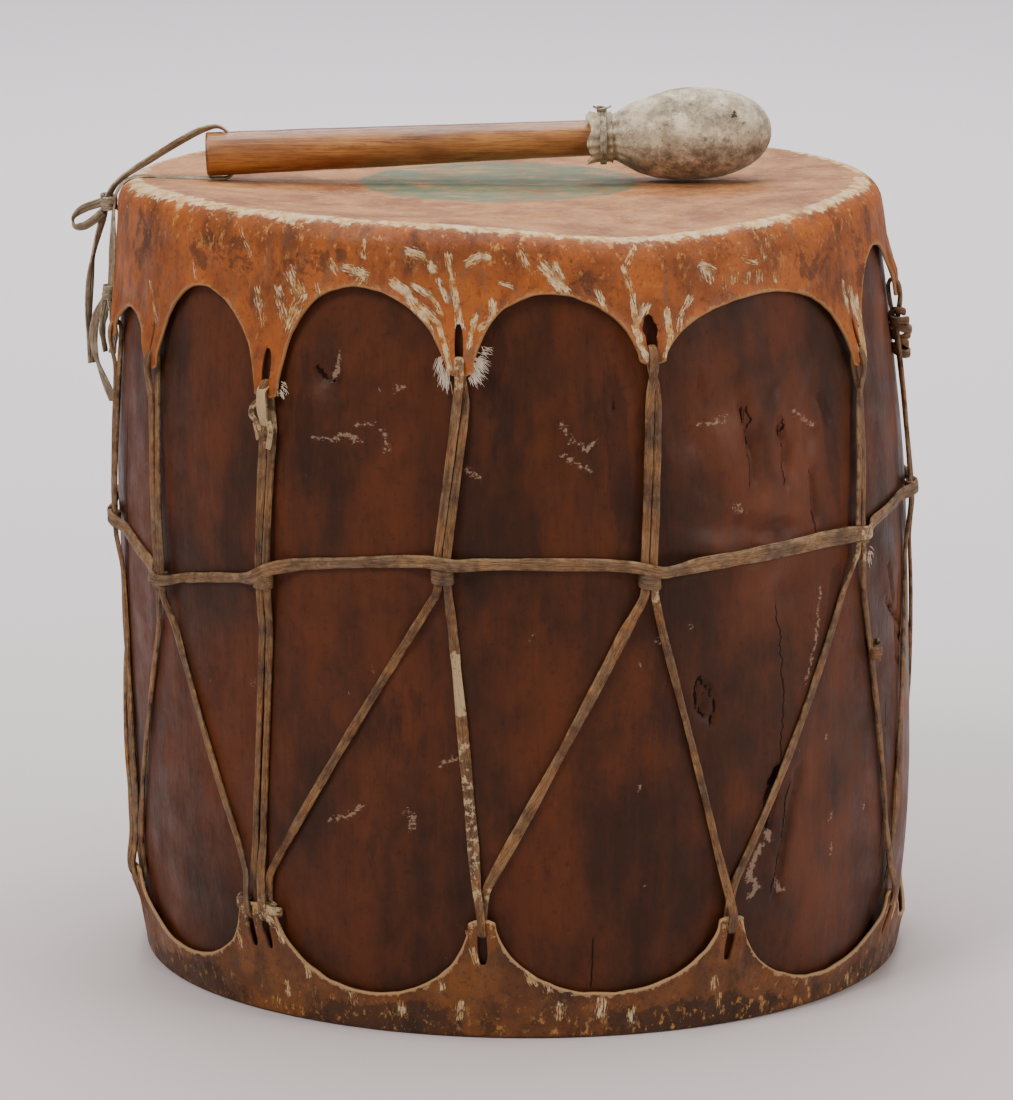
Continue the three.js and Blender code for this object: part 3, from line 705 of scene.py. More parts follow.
    def _streak(self) -> bpy.types.NodeTree:
        """Returns an effect that gives places on the drum's side in mm, drawn out along a turn."""
        takes = {
            "Bearing": Socket.NUMBER,
            "Height": Socket.NUMBER,
            "Turn": Socket.NUMBER,
            "Stretch": Socket.NUMBER,
        }
        tree, nodes, given, made = self._group("streak", takes, {"Vector": Socket.VECTOR})
        around = nodes.times(given["Bearing"], math.radians(1) * FORM.belly / MM)
        cosine = nodes.math("COSINE", given["Turn"])
        sine = nodes.math("SINE", given["Turn"])
        lengthwise = nodes.plus(nodes.times(given["Height"], cosine), nodes.times(around, sine))
        crosswise = nodes.minus(nodes.times(around, cosine), nodes.times(given["Height"], sine))
        drawn = nodes.math("DIVIDE", lengthwise, given["Stretch"])
        nodes.feed(made["Vector"], nodes.add("ShaderNodeCombineXYZ", {0: crosswise, 1: drawn}).outputs[0])
        return tree

    def _crack(self) -> bpy.types.NodeTree:
        """Returns an effect that draws one wandering upright crack."""
        names = ("Bearing", "Height", "Low", "High", "Foot", "Head", "Width", "Wander", "Sway", "Broken")
        takes = {name: Socket.NUMBER for name in names}
        tree, nodes, given, made = self._group("crack", takes, {"Mask": Socket.NUMBER})
        climb = nodes.minus(given["Height"], given["Low"])
        share = nodes.math("DIVIDE", climb, nodes.minus(given["High"], given["Low"]))
        course = nodes.add(
            "ShaderNodeMix",
            {0: share, 2: given["Foot"], 3: given["Head"]},
            data_type="FLOAT",
            clamp_factor=True,
        )
        middle = nodes.plus(course.outputs[0], nodes.times(given["Sway"], given["Wander"]))
        off = nodes.math("ABSOLUTE", nodes.minus(given["Bearing"], middle))
        ends = nodes.times(nodes.spread(share, 0.0, 0.08), nodes.spread(share, 0.86, 1.0, 1.0, 0.0))
        reach = nodes.times(nodes.times(given["Width"], ends), given["Broken"])
        near = nodes.minus(1.0, nodes.math("DIVIDE", off, nodes.plus(reach, 0.0001)))
        nodes.feed(made["Mask"], nodes.math("MULTIPLY", near, 2.5, clamp=True))
        return tree


def new_finish(name: str) -> tuple[Finish, Nodes, bpy.types.Node]:
    """Starts a material.

    Args:
        name: Its name.

    Returns:
        The material, its node helper and its Principled shader.
    """
    material = bpy.data.materials.new(name)
    material.use_nodes = True
    nodes = Nodes(material.node_tree)
    return material, nodes, material.node_tree.nodes["Principled BSDF"]


def raise_surface(
    nodes: Nodes, shader: bpy.types.Node, height: object, distance: float, strength: float = 1.0
) -> None:
    """Feeds a bump of a given depth, in metres, to a shader."""
    inputs = {"Height": height, "Distance": distance, "Strength": strength}
    nodes.feed(shader.inputs["Normal"], nodes.add("ShaderNodeBump", inputs).outputs[0])


@dataclass(frozen=True)
class PaintedWood:
    """Dark red-brown paint on an upright-grained log, with staining, scratches and cracks; it also carries
    patches of painted sheen, a painted strand shadow, and painted shade in its cracks and pits.
    """

    brown: Colour = srgb(52, 28, 14)
    red: Colour = srgb(90, 44, 19)
    dark: Colour = srgb(33, 19, 13)
    bloom: Colour = srgb(134, 78, 54)
    scratch: Colour = srgb(176, 148, 122)
    pit: Colour = srgb(11, 7, 6)
    cracks: tuple[tuple[float, ...], ...] = (
        (170, 226, 40.0, 38.9, 0.17, 3.4), (128, 176, 38.8, 39.9, 0.15, -3.0),
        (66, 130, 37.4, 40.6, 0.2, 2.6), (26, 56, 9.6, 9.8, 0.16, 0.8),
        (57, 318, -79.0, -73.5, 0.3, 1.4), (284, 330, 35.6, 36.6, 0.16, 2.6),
        (282, 322, 42.2, 43.0, 0.14, -3.0), (254, 292, 47.4, 47.2, 0.14, 1.6),
        (60, 160, 64.0, 66.0, 0.16, 1.6), (150, 360, 132.0, 130.0, 0.3, 2.6),
        (20, 180, -152.0, -149.0, 0.3, 2.6),
    )
    roughness: tuple[float, float] = (0.42, 0.6)
    gleam: float = 0.21

    def paint(
        self, effects: Effects, nodes: Nodes, at: object, upright: object
    ) -> tuple[Output, bpy.types.bpy_prop_collection]:
        """Mixes the paint's own colour.

        Args:
            effects: The shared effects.
            nodes: The finish's node helper.
            at: The place in space.
            upright: The place drawn out along the grain.

        Returns:
            The colour, and the coarse and fine value of the grain by name.
        """
        patchy = nodes.stretched(at, (1.0, 1.0, 0.5))
        cloud = effects.mottled(nodes, patchy, 22.0, self.brown, self.red)
        blotch = nodes.patches(nodes.stretched(at, (1.0, 1.0, 0.7)), 60.0, 6.0, 0.65, 0.5, 0.72)
        cloud = nodes.tint(cloud, self.dark, blotch, 0.34)
        grain = effects.fibres(nodes, upright, 95.0)
        streak = nodes.times(nodes.spread(nodes.noise(upright, 26.0, 4.0), 0.48, 0.74), 0.34)
        colour = nodes.mix(streak, cloud, self.dark)
        colour = nodes.tint(colour, self.dark, nodes.spread(grain["Fine"], 0.5, 0.72), 0.24)
        colour = nodes.tint(colour, self.red, nodes.spread(grain["Fine"], 0.48, 0.3), 0.16)
        soot = nodes.patches(at, 240.0, 6.0, 0.7, 0.54, 0.7)
        colour = nodes.tint(colour, self.dark, soot, 0.4)
        return colour, grain

    def wear_and_painted_light(self, effects: Effects, nodes: Nodes, at: object, colour: Output) -> Output:
        """Returns the paint's colour with its dark patches, which hold staining and a painted strand shadow,
        its patches of painted sheen, and its scratches.
        """
        # Dark patches: staining, and the painted shadow of one strand on the wood.
        stain = effects.torn(nodes, nodes.stretched(at, (1.0, 1.0, 0.3)), "stain", 26.0, 0.9)
        colour = nodes.tint(colour, self.dark, stain, 0.42)
        # Painted sheen: a pale greyish tint in broad patches, standing for light glancing off the paint.
        bloom = nodes.times(nodes.value_of("bloom"), nodes.spread(nodes.noise(at, 30.0), 0.3, 0.7))
        colour = nodes.tint(colour, self.bloom, bloom, 0.4)
        rubbed = effects.torn(nodes, nodes.stretched(at, (1.0, 1.0, 1.3)), "scratch", 420.0, 1.05)
        tilted = nodes.add(
            "ShaderNodeVectorRotate", {"Vector": at, "Angle": 0.5}, rotation_type="Y_AXIS"
        ).outputs[0]
        flecks = nodes.patches(nodes.stretched(tilted, (1.0, 1.0, 0.22)), 300.0, 3.0, 0.6, 0.73, 0.78)
        here = nodes.spread(nodes.noise(at, 22.0, 2.0), 0.45, 0.65)
        pale = nodes.larger(nodes.times(rubbed, 0.5), nodes.times(nodes.times(flecks, here), 0.5))
        return nodes.mix(pale, colour, self.scratch)

    def openings(
        self, effects: Effects, nodes: Nodes, upright: object, place: bpy.types.bpy_prop_collection
    ) -> Output:
        """Masks the cracks and the pits.

        Args:
            effects: The shared effects.
            nodes: The finish's node helper.
            upright: The place drawn out along the grain.
            place: Bearing and height of the place on the drum.

        Returns:
            1 in a crack or a pit, and 0 beside it.
        """
        up = nodes.add("ShaderNodeCombineXYZ", {0: place["Height"]}).outputs[0]
        sway = nodes.minus(nodes.noise(up, 0.09, 5.0, 0.65), 0.5)
        broken = nodes.plus(nodes.noise(up, 0.25, 2.0), 0.3)
        split: object = 0.0
        for low, high, foot, head, width, wander in self.cracks:
            values = {"Bearing": place["Bearing"], "Height": place["Height"], "Low": low, "High": high}
            values |= {
                "Foot": foot,
                "Head": head,
                "Width": width,
                "Wander": wander,
                "Sway": sway,
                "Broken": broken,
            }
            split = nodes.larger(split, nodes.effect(effects.crack, "Mask", values))
        return nodes.larger(split, effects.torn(nodes, upright, "pit", 260.0, 0.8))

    def material(self, effects: Effects) -> Finish:
        """Returns the finish, built from the shared effects."""
        made, nodes, shader = new_finish("painted wood")
        at = nodes.place()
        place = nodes.add("ShaderNodeGroup", {0: at}, node_tree=effects.drum_place).outputs
        upright = nodes.stretched(at, (1.0, 1.0, 0.07))
        paint, grain = self.paint(effects, nodes, at, upright)
        colour = self.wear_and_painted_light(effects, nodes, at, paint)
        opened = self.openings(effects, nodes, upright, place)
        # The cracks and pits are painted near-black: painted shade inside the openings.
        nodes.feed(shader.inputs["Base Color"], nodes.tint(colour, self.pit, opened, 0.82))
        low, high = self.roughness
        gloss = nodes.spread(nodes.noise(at, 60.0, 5.0), 0.3, 0.7, low, high)
        nodes.feed(shader.inputs["Roughness"], nodes.plus(gloss, nodes.times(opened, 0.3)))
        shader.inputs["Specular IOR Level"].default_value = self.gleam
        relief = nodes.plus(nodes.times(grain["Coarse"], 0.16), nodes.times(grain["Fine"], 0.12))
        knobby = nodes.noise(nodes.stretched(at, (1.0, 1.0, 0.6)), 150.0, 6.0, 0.65)
        relief = nodes.plus(relief, nodes.times(knobby, 0.7))
        relief = nodes.minus(relief, nodes.times(opened, 2.2))
        raise_surface(nodes, shader, relief, 0.0007, 0.9)
        return made


@dataclass(frozen=True)
class PaintedHide:
    """Rawhide painted and soiled, scuffed to cream, with a worn rim and pale cut edges."""

    name: str
    base: Colour
    bright: Colour
    dark: Colour
    drumhead: Colour
    drumhead_dark: Colour
    cream: Colour = srgb(226, 204, 162)
    gold: Colour = srgb(196, 142, 74)
    grime: Colour = srgb(104, 78, 58)
    edge: Colour = srgb(160, 116, 70)
    disc: Colour = srgb(98, 112, 86)
    disc_radius: float = 75.0
    speckle: float = 0.3
    flaking: float = 0.1
    gleam: float = 0.35

    def side_colour(self, effects: Effects, nodes: Nodes, at: object) -> Output:
        """Returns the painted side's colour, soiled and flaking."""
        colour = effects.mottled(nodes, at, 40.0, self.base, self.bright)
        smear = nodes.patches(nodes.stretched(at, (1.0, 1.0, 0.45)), 48.0, 6.0, 0.68, 0.48, 0.7)
        colour = nodes.tint(colour, self.dark, smear, 0.72)
        freckle = nodes.patches(at, 330.0, 6.0, 0.7, 0.52, 0.66)
        colour = nodes.tint(colour, self.dark, freckle, 0.5)
        dirt = nodes.patches(nodes.stretched(at, (1.0, 1.0, 0.6)), 105.0, 7.0, 0.72, 0.53, 0.68)
        colour = nodes.tint(colour, self.grime, dirt, 0.6)
        stain = effects.torn(nodes, at, "stain", 70.0, 1.1)
        colour = nodes.tint(colour, self.dark, stain, 0.6)
        flake = nodes.patches(nodes.stretched(at, (1.0, 1.0, 0.6)), 260.0, 5.0, 0.7, 0.56, 0.64)
        worn = nodes.times(nodes.plus(nodes.times(nodes.value_of("worn"), 0.85), self.flaking), flake)
        return nodes.mix(worn, colour, self.gold)

    def head_colour(self, effects: Effects, nodes: Nodes, at: object, distance: object) -> Output:
        """Returns the drumhead's colour, with the worn disc in its middle."""
        head = effects.mottled(nodes, at, 30.0, self.drumhead, self.drumhead_dark)
        rubbed = nodes.patches(at, 130.0, 6.0, 0.7, 0.52, 0.68)
        head = nodes.tint(head, self.cream, rubbed, 0.2)
        head = nodes.tint(head, self.dark, nodes.patches(at, 300.0, 6.0, 0.7, 0.54, 0.66), 0.5)
        fleck = nodes.patches(nodes.stretched(at, (0.6, 1.0, 1.0)), 380.0, 4.0, 0.65, 0.62, 0.7)
        head = nodes.tint(head, self.cream, fleck, 0.5)
        wobble = nodes.times(nodes.minus(nodes.noise(at, 60.0, 6.0, 0.7), 0.5), 16.0)
        from_middle = nodes.plus(distance, wobble)
        painted_disc = nodes.spread(from_middle, self.disc_radius - 2.5, self.disc_radius + 2.5, 1.0, 0.0)
        scraped = nodes.patches(nodes.stretched(at, (0.5, 1.0, 1.0)), 120.0, 7.0, 0.75, 0.32, 0.56)
        return nodes.mix(nodes.times(painted_disc, scraped), head, self.disc)

    def material(self, effects: Effects) -> Finish:
        """Returns the finish, built from the shared effects."""
        made, nodes, shader = new_finish(self.name)
        at = nodes.place()
        place = nodes.add("ShaderNodeGroup", {0: at}, node_tree=effects.drum_place).outputs
        colour = self.side_colour(effects, nodes, at)
        head = self.head_colour(effects, nodes, at, place["Distance"])
        colour = nodes.mix(nodes.value_of("head"), colour, head)
        rim = effects.torn(nodes, at, "rim", 150.0, 0.65)
        streak_at = {
            "Bearing": place["Bearing"],
            "Height": place["Height"],
            "Turn": nodes.value_of("way"),
            "Stretch": 7.0,
        }
        along_streak = nodes.effect(effects.streak, "Vector", streak_at)
        scuff = effects.torn(nodes, along_streak, "scuff", 1.05, 1.25)
        dust = nodes.patches(nodes.stretched(at, (1.0, 1.0, 0.6)), 300.0, 4.0, 0.65, 0.66, 0.74)
        pale = nodes.larger(nodes.larger(rim, scuff), nodes.times(dust, self.speckle))
        tone = nodes.mix(nodes.patches(at, 180.0, 5.0, 0.7, 0.35, 0.62), self.gold, self.cream)
        colour = nodes.tint(colour, tone, pale, 0.86)
        cut = effects.torn(nodes, at, "edge", 240.0, 0.9)
        colour = nodes.tint(colour, self.edge, cut, 0.8)
        nodes.feed(shader.inputs["Base Color"], colour)
        gloss = nodes.spread(nodes.noise(at, 70.0, 5.0), 0.3, 0.7, 0.48, 0.7)
        nodes.feed(shader.inputs["Roughness"], nodes.plus(gloss, nodes.times(pale, 0.15)))
        shader.inputs["Specular IOR Level"].default_value = self.gleam
        crease = nodes.noise(nodes.stretched(at, (1.0, 1.0, 0.5)), 120.0, 6.0, 0.62)
        pores = nodes.times(nodes.noise(at, 900.0, 3.0, 0.6), 0.3)
        relief = nodes.minus(nodes.plus(crease, pores), nodes.times(pale, 0.35))
        raise_surface(nodes, shader, relief, 0.0009, 0.8)
        return made


@dataclass(frozen=True)
class ThongHide:
    """Cut hide in long strips, with pale fibres, dark dirt and creamy worn places."""

    name: str
    tan: Colour
    brown: Colour
    dark: Colour
    cream: Colour
    wear: float = 0.5

    def material(self, effects: Effects) -> Finish:
        """Returns the finish, built from the shared effects."""
        made, nodes, shader = new_finish(self.name)
        at = nodes.place()
        run = nodes.value_of("run")
        side = nodes.value_of("side")
        strip = nodes.add("ShaderNodeCombineXYZ", {0: run, 1: nodes.times(side, 0.0025)}).outputs[0]
        fibres = effects.fibres(nodes, nodes.stretched(strip, (0.05, 1.0, 1.0)), 900.0)
        colour = effects.mottled(nodes, at, 45.0, self.brown, self.tan)
        colour = nodes.tint(colour, self.dark, nodes.spread(fibres["Fine"], 0.42, 0.6), 0.75)
        caked = nodes.patches(at, 110.0, 5.0, 0.7, 0.55, 0.68)
        colour = nodes.tint(colour, self.dark, caked, 0.5)
        patches = nodes.patches(at, 38.0, 6.0, 0.7, 0.62 - 0.12 * self.wear, 0.72 - 0.1 * self.wear)
        rubbed = nodes.times(
            nodes.math("ABSOLUTE", side), nodes.spread(nodes.noise(at, 150.0, 4.0), 0.4, 0.6)
        )
        pale = nodes.larger(nodes.times(patches, self.wear), nodes.times(rubbed, self.wear))
        bleached = effects.torn(nodes, at, "pale", 260.0, 0.9)
        pale = nodes.math("MAXIMUM", pale, bleached, clamp=True)
        nodes.feed(shader.inputs["Base Color"], nodes.tint(colour, self.cream, pale, 0.75))
        nodes.feed(shader.inputs["Roughness"], nodes.spread(fibres["Coarse"], 0.0, 1.0, 0.5, 0.72))
        relief = nodes.plus(fibres["Coarse"], nodes.times(nodes.noise(at, 500.0, 4.0), 0.8))
        raise_surface(nodes, shader, relief, 0.0009, 0.9)
        return made


@dataclass(frozen=True)
class HandledWood:
    """A honey-coloured stick, polished by hands, with long grain and dark scrapes."""

    honey: Colour = srgb(182, 124, 64)
    brown: Colour = srgb(118, 66, 30)
    dark: Colour = srgb(50, 28, 18)

    def material(self, effects: Effects) -> Finish:
        """Returns the finish, built from the shared effects."""
        made, nodes, shader = new_finish("handled wood")
        at = nodes.place()
        lengthwise = nodes.stretched(at, (0.06, 1.0, 1.0))
        grain = effects.fibres(nodes, lengthwise, 260.0)
        colour = effects.mottled(nodes, nodes.stretched(at, (0.25, 1.0, 1.0)), 55.0, self.brown, self.honey)
        colour = nodes.tint(colour, self.brown, nodes.spread(grain["Fine"], 0.46, 0.62), 0.6)
        scrape = nodes.patches(nodes.stretched(at, (0.15, 1.0, 1.0)), 170.0, 7.0, 0.75, 0.56, 0.66)
        colour = nodes.tint(colour, self.dark, scrape, 0.6)
        ends = effects.torn(nodes, at, "end", 200.0, 0.6)
        nodes.feed(shader.inputs["Base Color"], nodes.tint(colour, self.dark, ends, 0.6))
        nodes.feed(shader.inputs["Roughness"], nodes.spread(grain["Coarse"], 0.0, 1.0, 0.3, 0.45))
        shader.inputs["Coat Weight"].default_value = 0.2
        raise_surface(nodes, shader, nodes.plus(grain["Coarse"], grain["Fine"]), 0.0003, 0.6)
        return made


@dataclass(frozen=True)
class SoftHide:
    """Soft pale hide over stuffing, soiled grey, brown where it strikes, and painted darker on its underside
    as shade as well as dirt.
    """

    cream: Colour = srgb(234, 216, 184)
    grey: Colour = srgb(160, 144, 118)
    soil: Colour = srgb(84, 62, 44)
    black: Colour = srgb(48, 40, 33)

    def material(self, effects: Effects) -> Finish:
        """Returns the finish, built from the shared effects."""
        made, nodes, shader = new_finish("soft hide")
        at = nodes.place()
        colour = effects.mottled(nodes, at, 75.0, self.grey, self.cream)
        patchy = nodes.patches(at, 120.0, 8.0, 0.75, 0.36, 0.62)
        # Soiled and shaded: darker on the underside as dirt and as painted shade.
        soiled_and_shaded = nodes.times(
            nodes.spread(nodes.value_of("soil"), 0.1, 0.85), nodes.plus(nodes.times(patchy, 0.7), 0.3)
        )
        colour = nodes.tint(colour, self.soil, soiled_and_shaded, 0.85)
        cloud = nodes.noise(at, 70.0, 8.0, 0.75)
        veins = nodes.times(nodes.spread(cloud, 0.5, 0.56), nodes.spread(cloud, 0.56, 0.62, 1.0, 0.0))
        colour = nodes.tint(colour, self.black, veins, 0.4)
        specks = nodes.patches(at, 210.0, 6.0, 0.75, 0.56, 0.66)
        colour = nodes.tint(colour, self.black, specks, 0.6)
        # The small torn hole is painted black: its dark inside, with the shade in it.
        mark = effects.torn(nodes, at, "mark", 400.0, 0.8)
        nodes.feed(shader.inputs["Base Color"], nodes.mix(mark, colour, self.black))
        shader.inputs["Roughness"].default_value = 0.85
        shader.inputs["Sheen Weight"].default_value = 0.25
        shader.inputs["Sheen Roughness"].default_value = 0.5
        nap = nodes.plus(nodes.noise(at, 260.0, 6.0, 0.65), nodes.times(nodes.noise(at, 1500.0, 2.0), 0.4))
        raise_surface(nodes, shader, nap, 0.0012, 0.7)
        return made


@dataclass(frozen=True)
class Fur:
    """White hair left at the hide's edge."""

    white: Colour = srgb(232, 222, 204)
    root: Colour = srgb(176, 150, 116)

    def material(self) -> Finish:
        """Returns the finish."""
        made, nodes, shader = new_finish("white fur")
        nodes.feed(shader.inputs["Base Color"], nodes.mix(nodes.value_of("run"), self.root, self.white))
        shader.inputs["Roughness"].default_value = 0.7
        shader.inputs["Sheen Weight"].default_value = 0.3
        return made


@dataclass(frozen=True)
class StudioPaper:
    """The pale sheet that the drum stands on, painted darker towards the front and lighter far off as painted
    shading of the studio light.
    """

    near: Colour = srgb(210, 198, 196)
    far: Colour = srgb(220, 214, 217)

    def material(self) -> Finish:
        """Returns the finish."""
        made, nodes, shader = new_finish("studio paper")
        at = nodes.place()
        depth = nodes.add("ShaderNodeSeparateXYZ", {0: at}).outputs["Y"]
        cloud = nodes.times(nodes.minus(nodes.noise(at, 1.4, 3.0), 0.5), 1.2)
        colour = nodes.mix(nodes.spread(nodes.plus(depth, cloud), -0.6, 1.6), self.near, self.far)
        nodes.feed(shader.inputs["Base Color"], colour)
        shader.inputs["Roughness"].default_value = 0.9
        raise_surface(nodes, shader, nodes.noise(at, 400.0, 3.0), 0.0002, 0.3)
        return made


# The beater's wrist thong and its knots


@dataclass
class WristThong:
    """The strap through the beater's tail, with its two knots; routes are in mm."""

    finish: Finish
    width: float = 4.6 * MM
    thickness: float = 1.6 * MM
    tie_width: float = 4.0 * MM
    tie_thickness: float = 1.5 * MM
    route: tuple[tuple[float, float, float], ...] = (
        (-223, -6, 301), (-225.2, -9, 308), (-228.6, -12, 318), (-231.6, -14.5, 328),
        (-232.2, -17, 340), (-230.2, -19, 350), (-226.4, -20.6, 357.5), (-223, -21, 364),
        (-221.8, -20, 373), (-221.1, -18, 386), (-221.1, -14, 397.5), (-220.9, -8.5, 407.5),
        (-219.4, -5.5, 415), (-214.8, -3.8, 421), (-206, -2.5, 423.4), (-195, -2, 422.6),
        (-180, -2, 422.3), (-164, -2, 422.2), (-159.4, -2, 422.7), (-156.6, -2, 425.4), (-156, -2, 430),
        (-156.8, -2, 440), (-159.4, -2, 446.8), (-164.5, -2, 450.2), (-173, -2, 448.6),
        (-186, -1.5, 441.8), (-198, -1, 434.4), (-208.5, -1, 427.8), (-217, -1, 422), (-222, -1, 416.5),
        (-225.4, -1, 409), (-227.2, -1.5, 401), (-229.8, -2.5, 392), (-232.6, -4, 381),
        (-234.4, -5, 368), (-235.4, -6, 352), (-235.4, -6.6, 341), (-234.6, -7, 331), (-234, -7.2, 322),
    )
    facing: tuple[tuple[float, float], ...] = (
        (0, 60), (8, 75), (24, 20), (40, 80), (55, 60), (66, 35), (90, 55), (112, 12), (150, 0),
        (212, 10), (230, 52), (262, 60), (282, 35), (305, 50), (325, 15), (340, 70), (365, 30),
        (392, 85), (410, 50), (430, 85),
    )
    bow: tuple[tuple[float, float, float], ...] = (
        (-227, -4, 409.6), (-231, -4.5, 408.4), (-236.4, -5, 406.6), (-240.4, -5.4, 404.2),
        (-243.2, -5.6, 400.6), (-242.2, -5.6, 396.6), (-237.6, -5.4, 396.6), (-232.4, -5, 399.6),
        (-227, -4, 404),
    )
    tails: tuple[tuple[tuple[float, float, float], ...], ...] = (
        ((-224, -22, 361), (-226, -23, 351), (-227, -23.5, 343), (-225.4, -24, 331)),
        ((-222.4, -23.4, 361), (-221, -26, 351), (-220.2, -28, 341), (-221.4, -29, 331)),
    )

    @staticmethod
    def turned_width(line: Array, degrees: Array) -> Array:
        """Returns the direction of a strap's width: along the depth at 0 degrees, flat to the front at 90."""
        ahead = np.gradient(line, axis=0)
        ahead /= np.linalg.norm(ahead, axis=1)[:, None]
        deep = np.array([0.0, 1.0, 0.0]) - ahead * ahead[:, 1:2]
        deep /= np.linalg.norm(deep, axis=1)[:, None]
        level = np.cross(ahead, deep)
        turn = np.radians(degrees)[:, None]
        return deep * np.cos(turn) + level * np.sin(turn)

    def build_strap(self) -> tuple[Piece, Array]:
        """Makes the long strap.

        Returns:
            The piece, and the points of its middle line.
        """
        line = catmull(self.route, 8) * MM
        count = len(line)
        run = np.concatenate([[0.0], np.cumsum(np.linalg.norm(np.diff(line, axis=0), axis=1))])
        turns = np.array(self.facing)
        wide = self.turned_width(line, np.interp(run / MM, turns[:, 0], turns[:, 1]))
        width = self.width * (1.08 + 0.12 * along_noise(count, 14, 3))
        thickness = self.thickness * (1 + 0.14 * along_noise(count, 9, 5))
        mesh = MeshBuilder()
        mesh.sweep(line, wide, width, thickness, sides=14, squareness=0.75)
        return mesh.build("wrist_strap", self.finish), line

    def coil(
        self,
        mesh: MeshBuilder,
        middle: Sequence[float],
        reach: tuple[float, float],
        turns: float,
        rise: float,
    ) -> None:
        """Adds a strip wound round an upright middle.

        Args:
            mesh: Where it goes.
            middle: Its middle, in mm.
            reach: Its half sizes along X and Y, in mm.
            turns: How often it goes round.
            rise: How far it climbs in all, in mm.
        """
        turn = np.linspace(0, turns * 2 * math.pi, int(turns * 20))
        share = turn / turn[-1]
        swell = 1 + 0.12 * np.sin(turn * 1.7 + 1)
        x = middle[0] + reach[0] * np.cos(turn) * swell
        y = middle[1] + reach[1] * np.sin(turn) * swell
        z = middle[2] + rise * (share - 0.5) + 0.5 * np.sin(turn * 0.8)
        line = np.stack([x, y, z], axis=1) * MM
        width = self.tie_width * np.minimum(1, 0.4 + 8 * np.minimum(share, 1 - share))
        mesh.sweep(line, np.array([0.0, 0.0, 1.0]), width, self.tie_thickness)

    def build_bow(self) -> Piece:
        """Returns the first knot with its loop."""
        mesh = MeshBuilder()
        self.coil(mesh, (-223.6, -4.2, 409.4), (3.9, 6.0), 2.6, 7.5)
        self.coil(mesh, (-225.2, -3.6, 409.8), (2.6, 3.4), 1.4, 3.0)
        line = catmull(self.bow, 8) * MM
        turn = np.interp(np.linspace(0, 1, len(line)), [0, 0.3, 0.5, 0.7, 1], [78, 66, 10, -60, -72])
        mesh.sweep(line, self.turned_width(line, turn), self.tie_width * 1.35, self.tie_thickness)
        return mesh.build("bow_loop", self.finish)

    def build_tails(self) -> Piece:
        """Returns the second knot with its two tails."""
        mesh = MeshBuilder()
        self.coil(mesh, (-223.2, -21.4, 363), (3.2, 3.6), 2.4, 7.0)
        for tail, first, last in zip(self.tails, (80, 40), (30, 85)):
            line = catmull(tail, 9) * MM
            share = np.linspace(0, 1, len(line))
            width = self.tie_width * (1.3 - 0.35 * share + 0.12 * np.sin(share * 21))
            wide = self.turned_width(line, np.interp(share, [0, 1], [first, last]))
            mesh.sweep(line, wide, width, self.tie_thickness * 0.85)
        return mesh.build("hanging_tails", self.finish)

    def build(self) -> list[Piece]:
        strap, line = self.build_strap()
        bow = self.build_bow()
        tails = self.build_tails()
        settle(strap, Slot.STRAP_HIDE, "wrist_thong")
        settle(bow, Slot.STRAP_HIDE, "bow_knot")
        settle(tails, Slot.STRAP_HIDE, "tail_knot")
        return [strap, bow, tails]


# The hollowed log


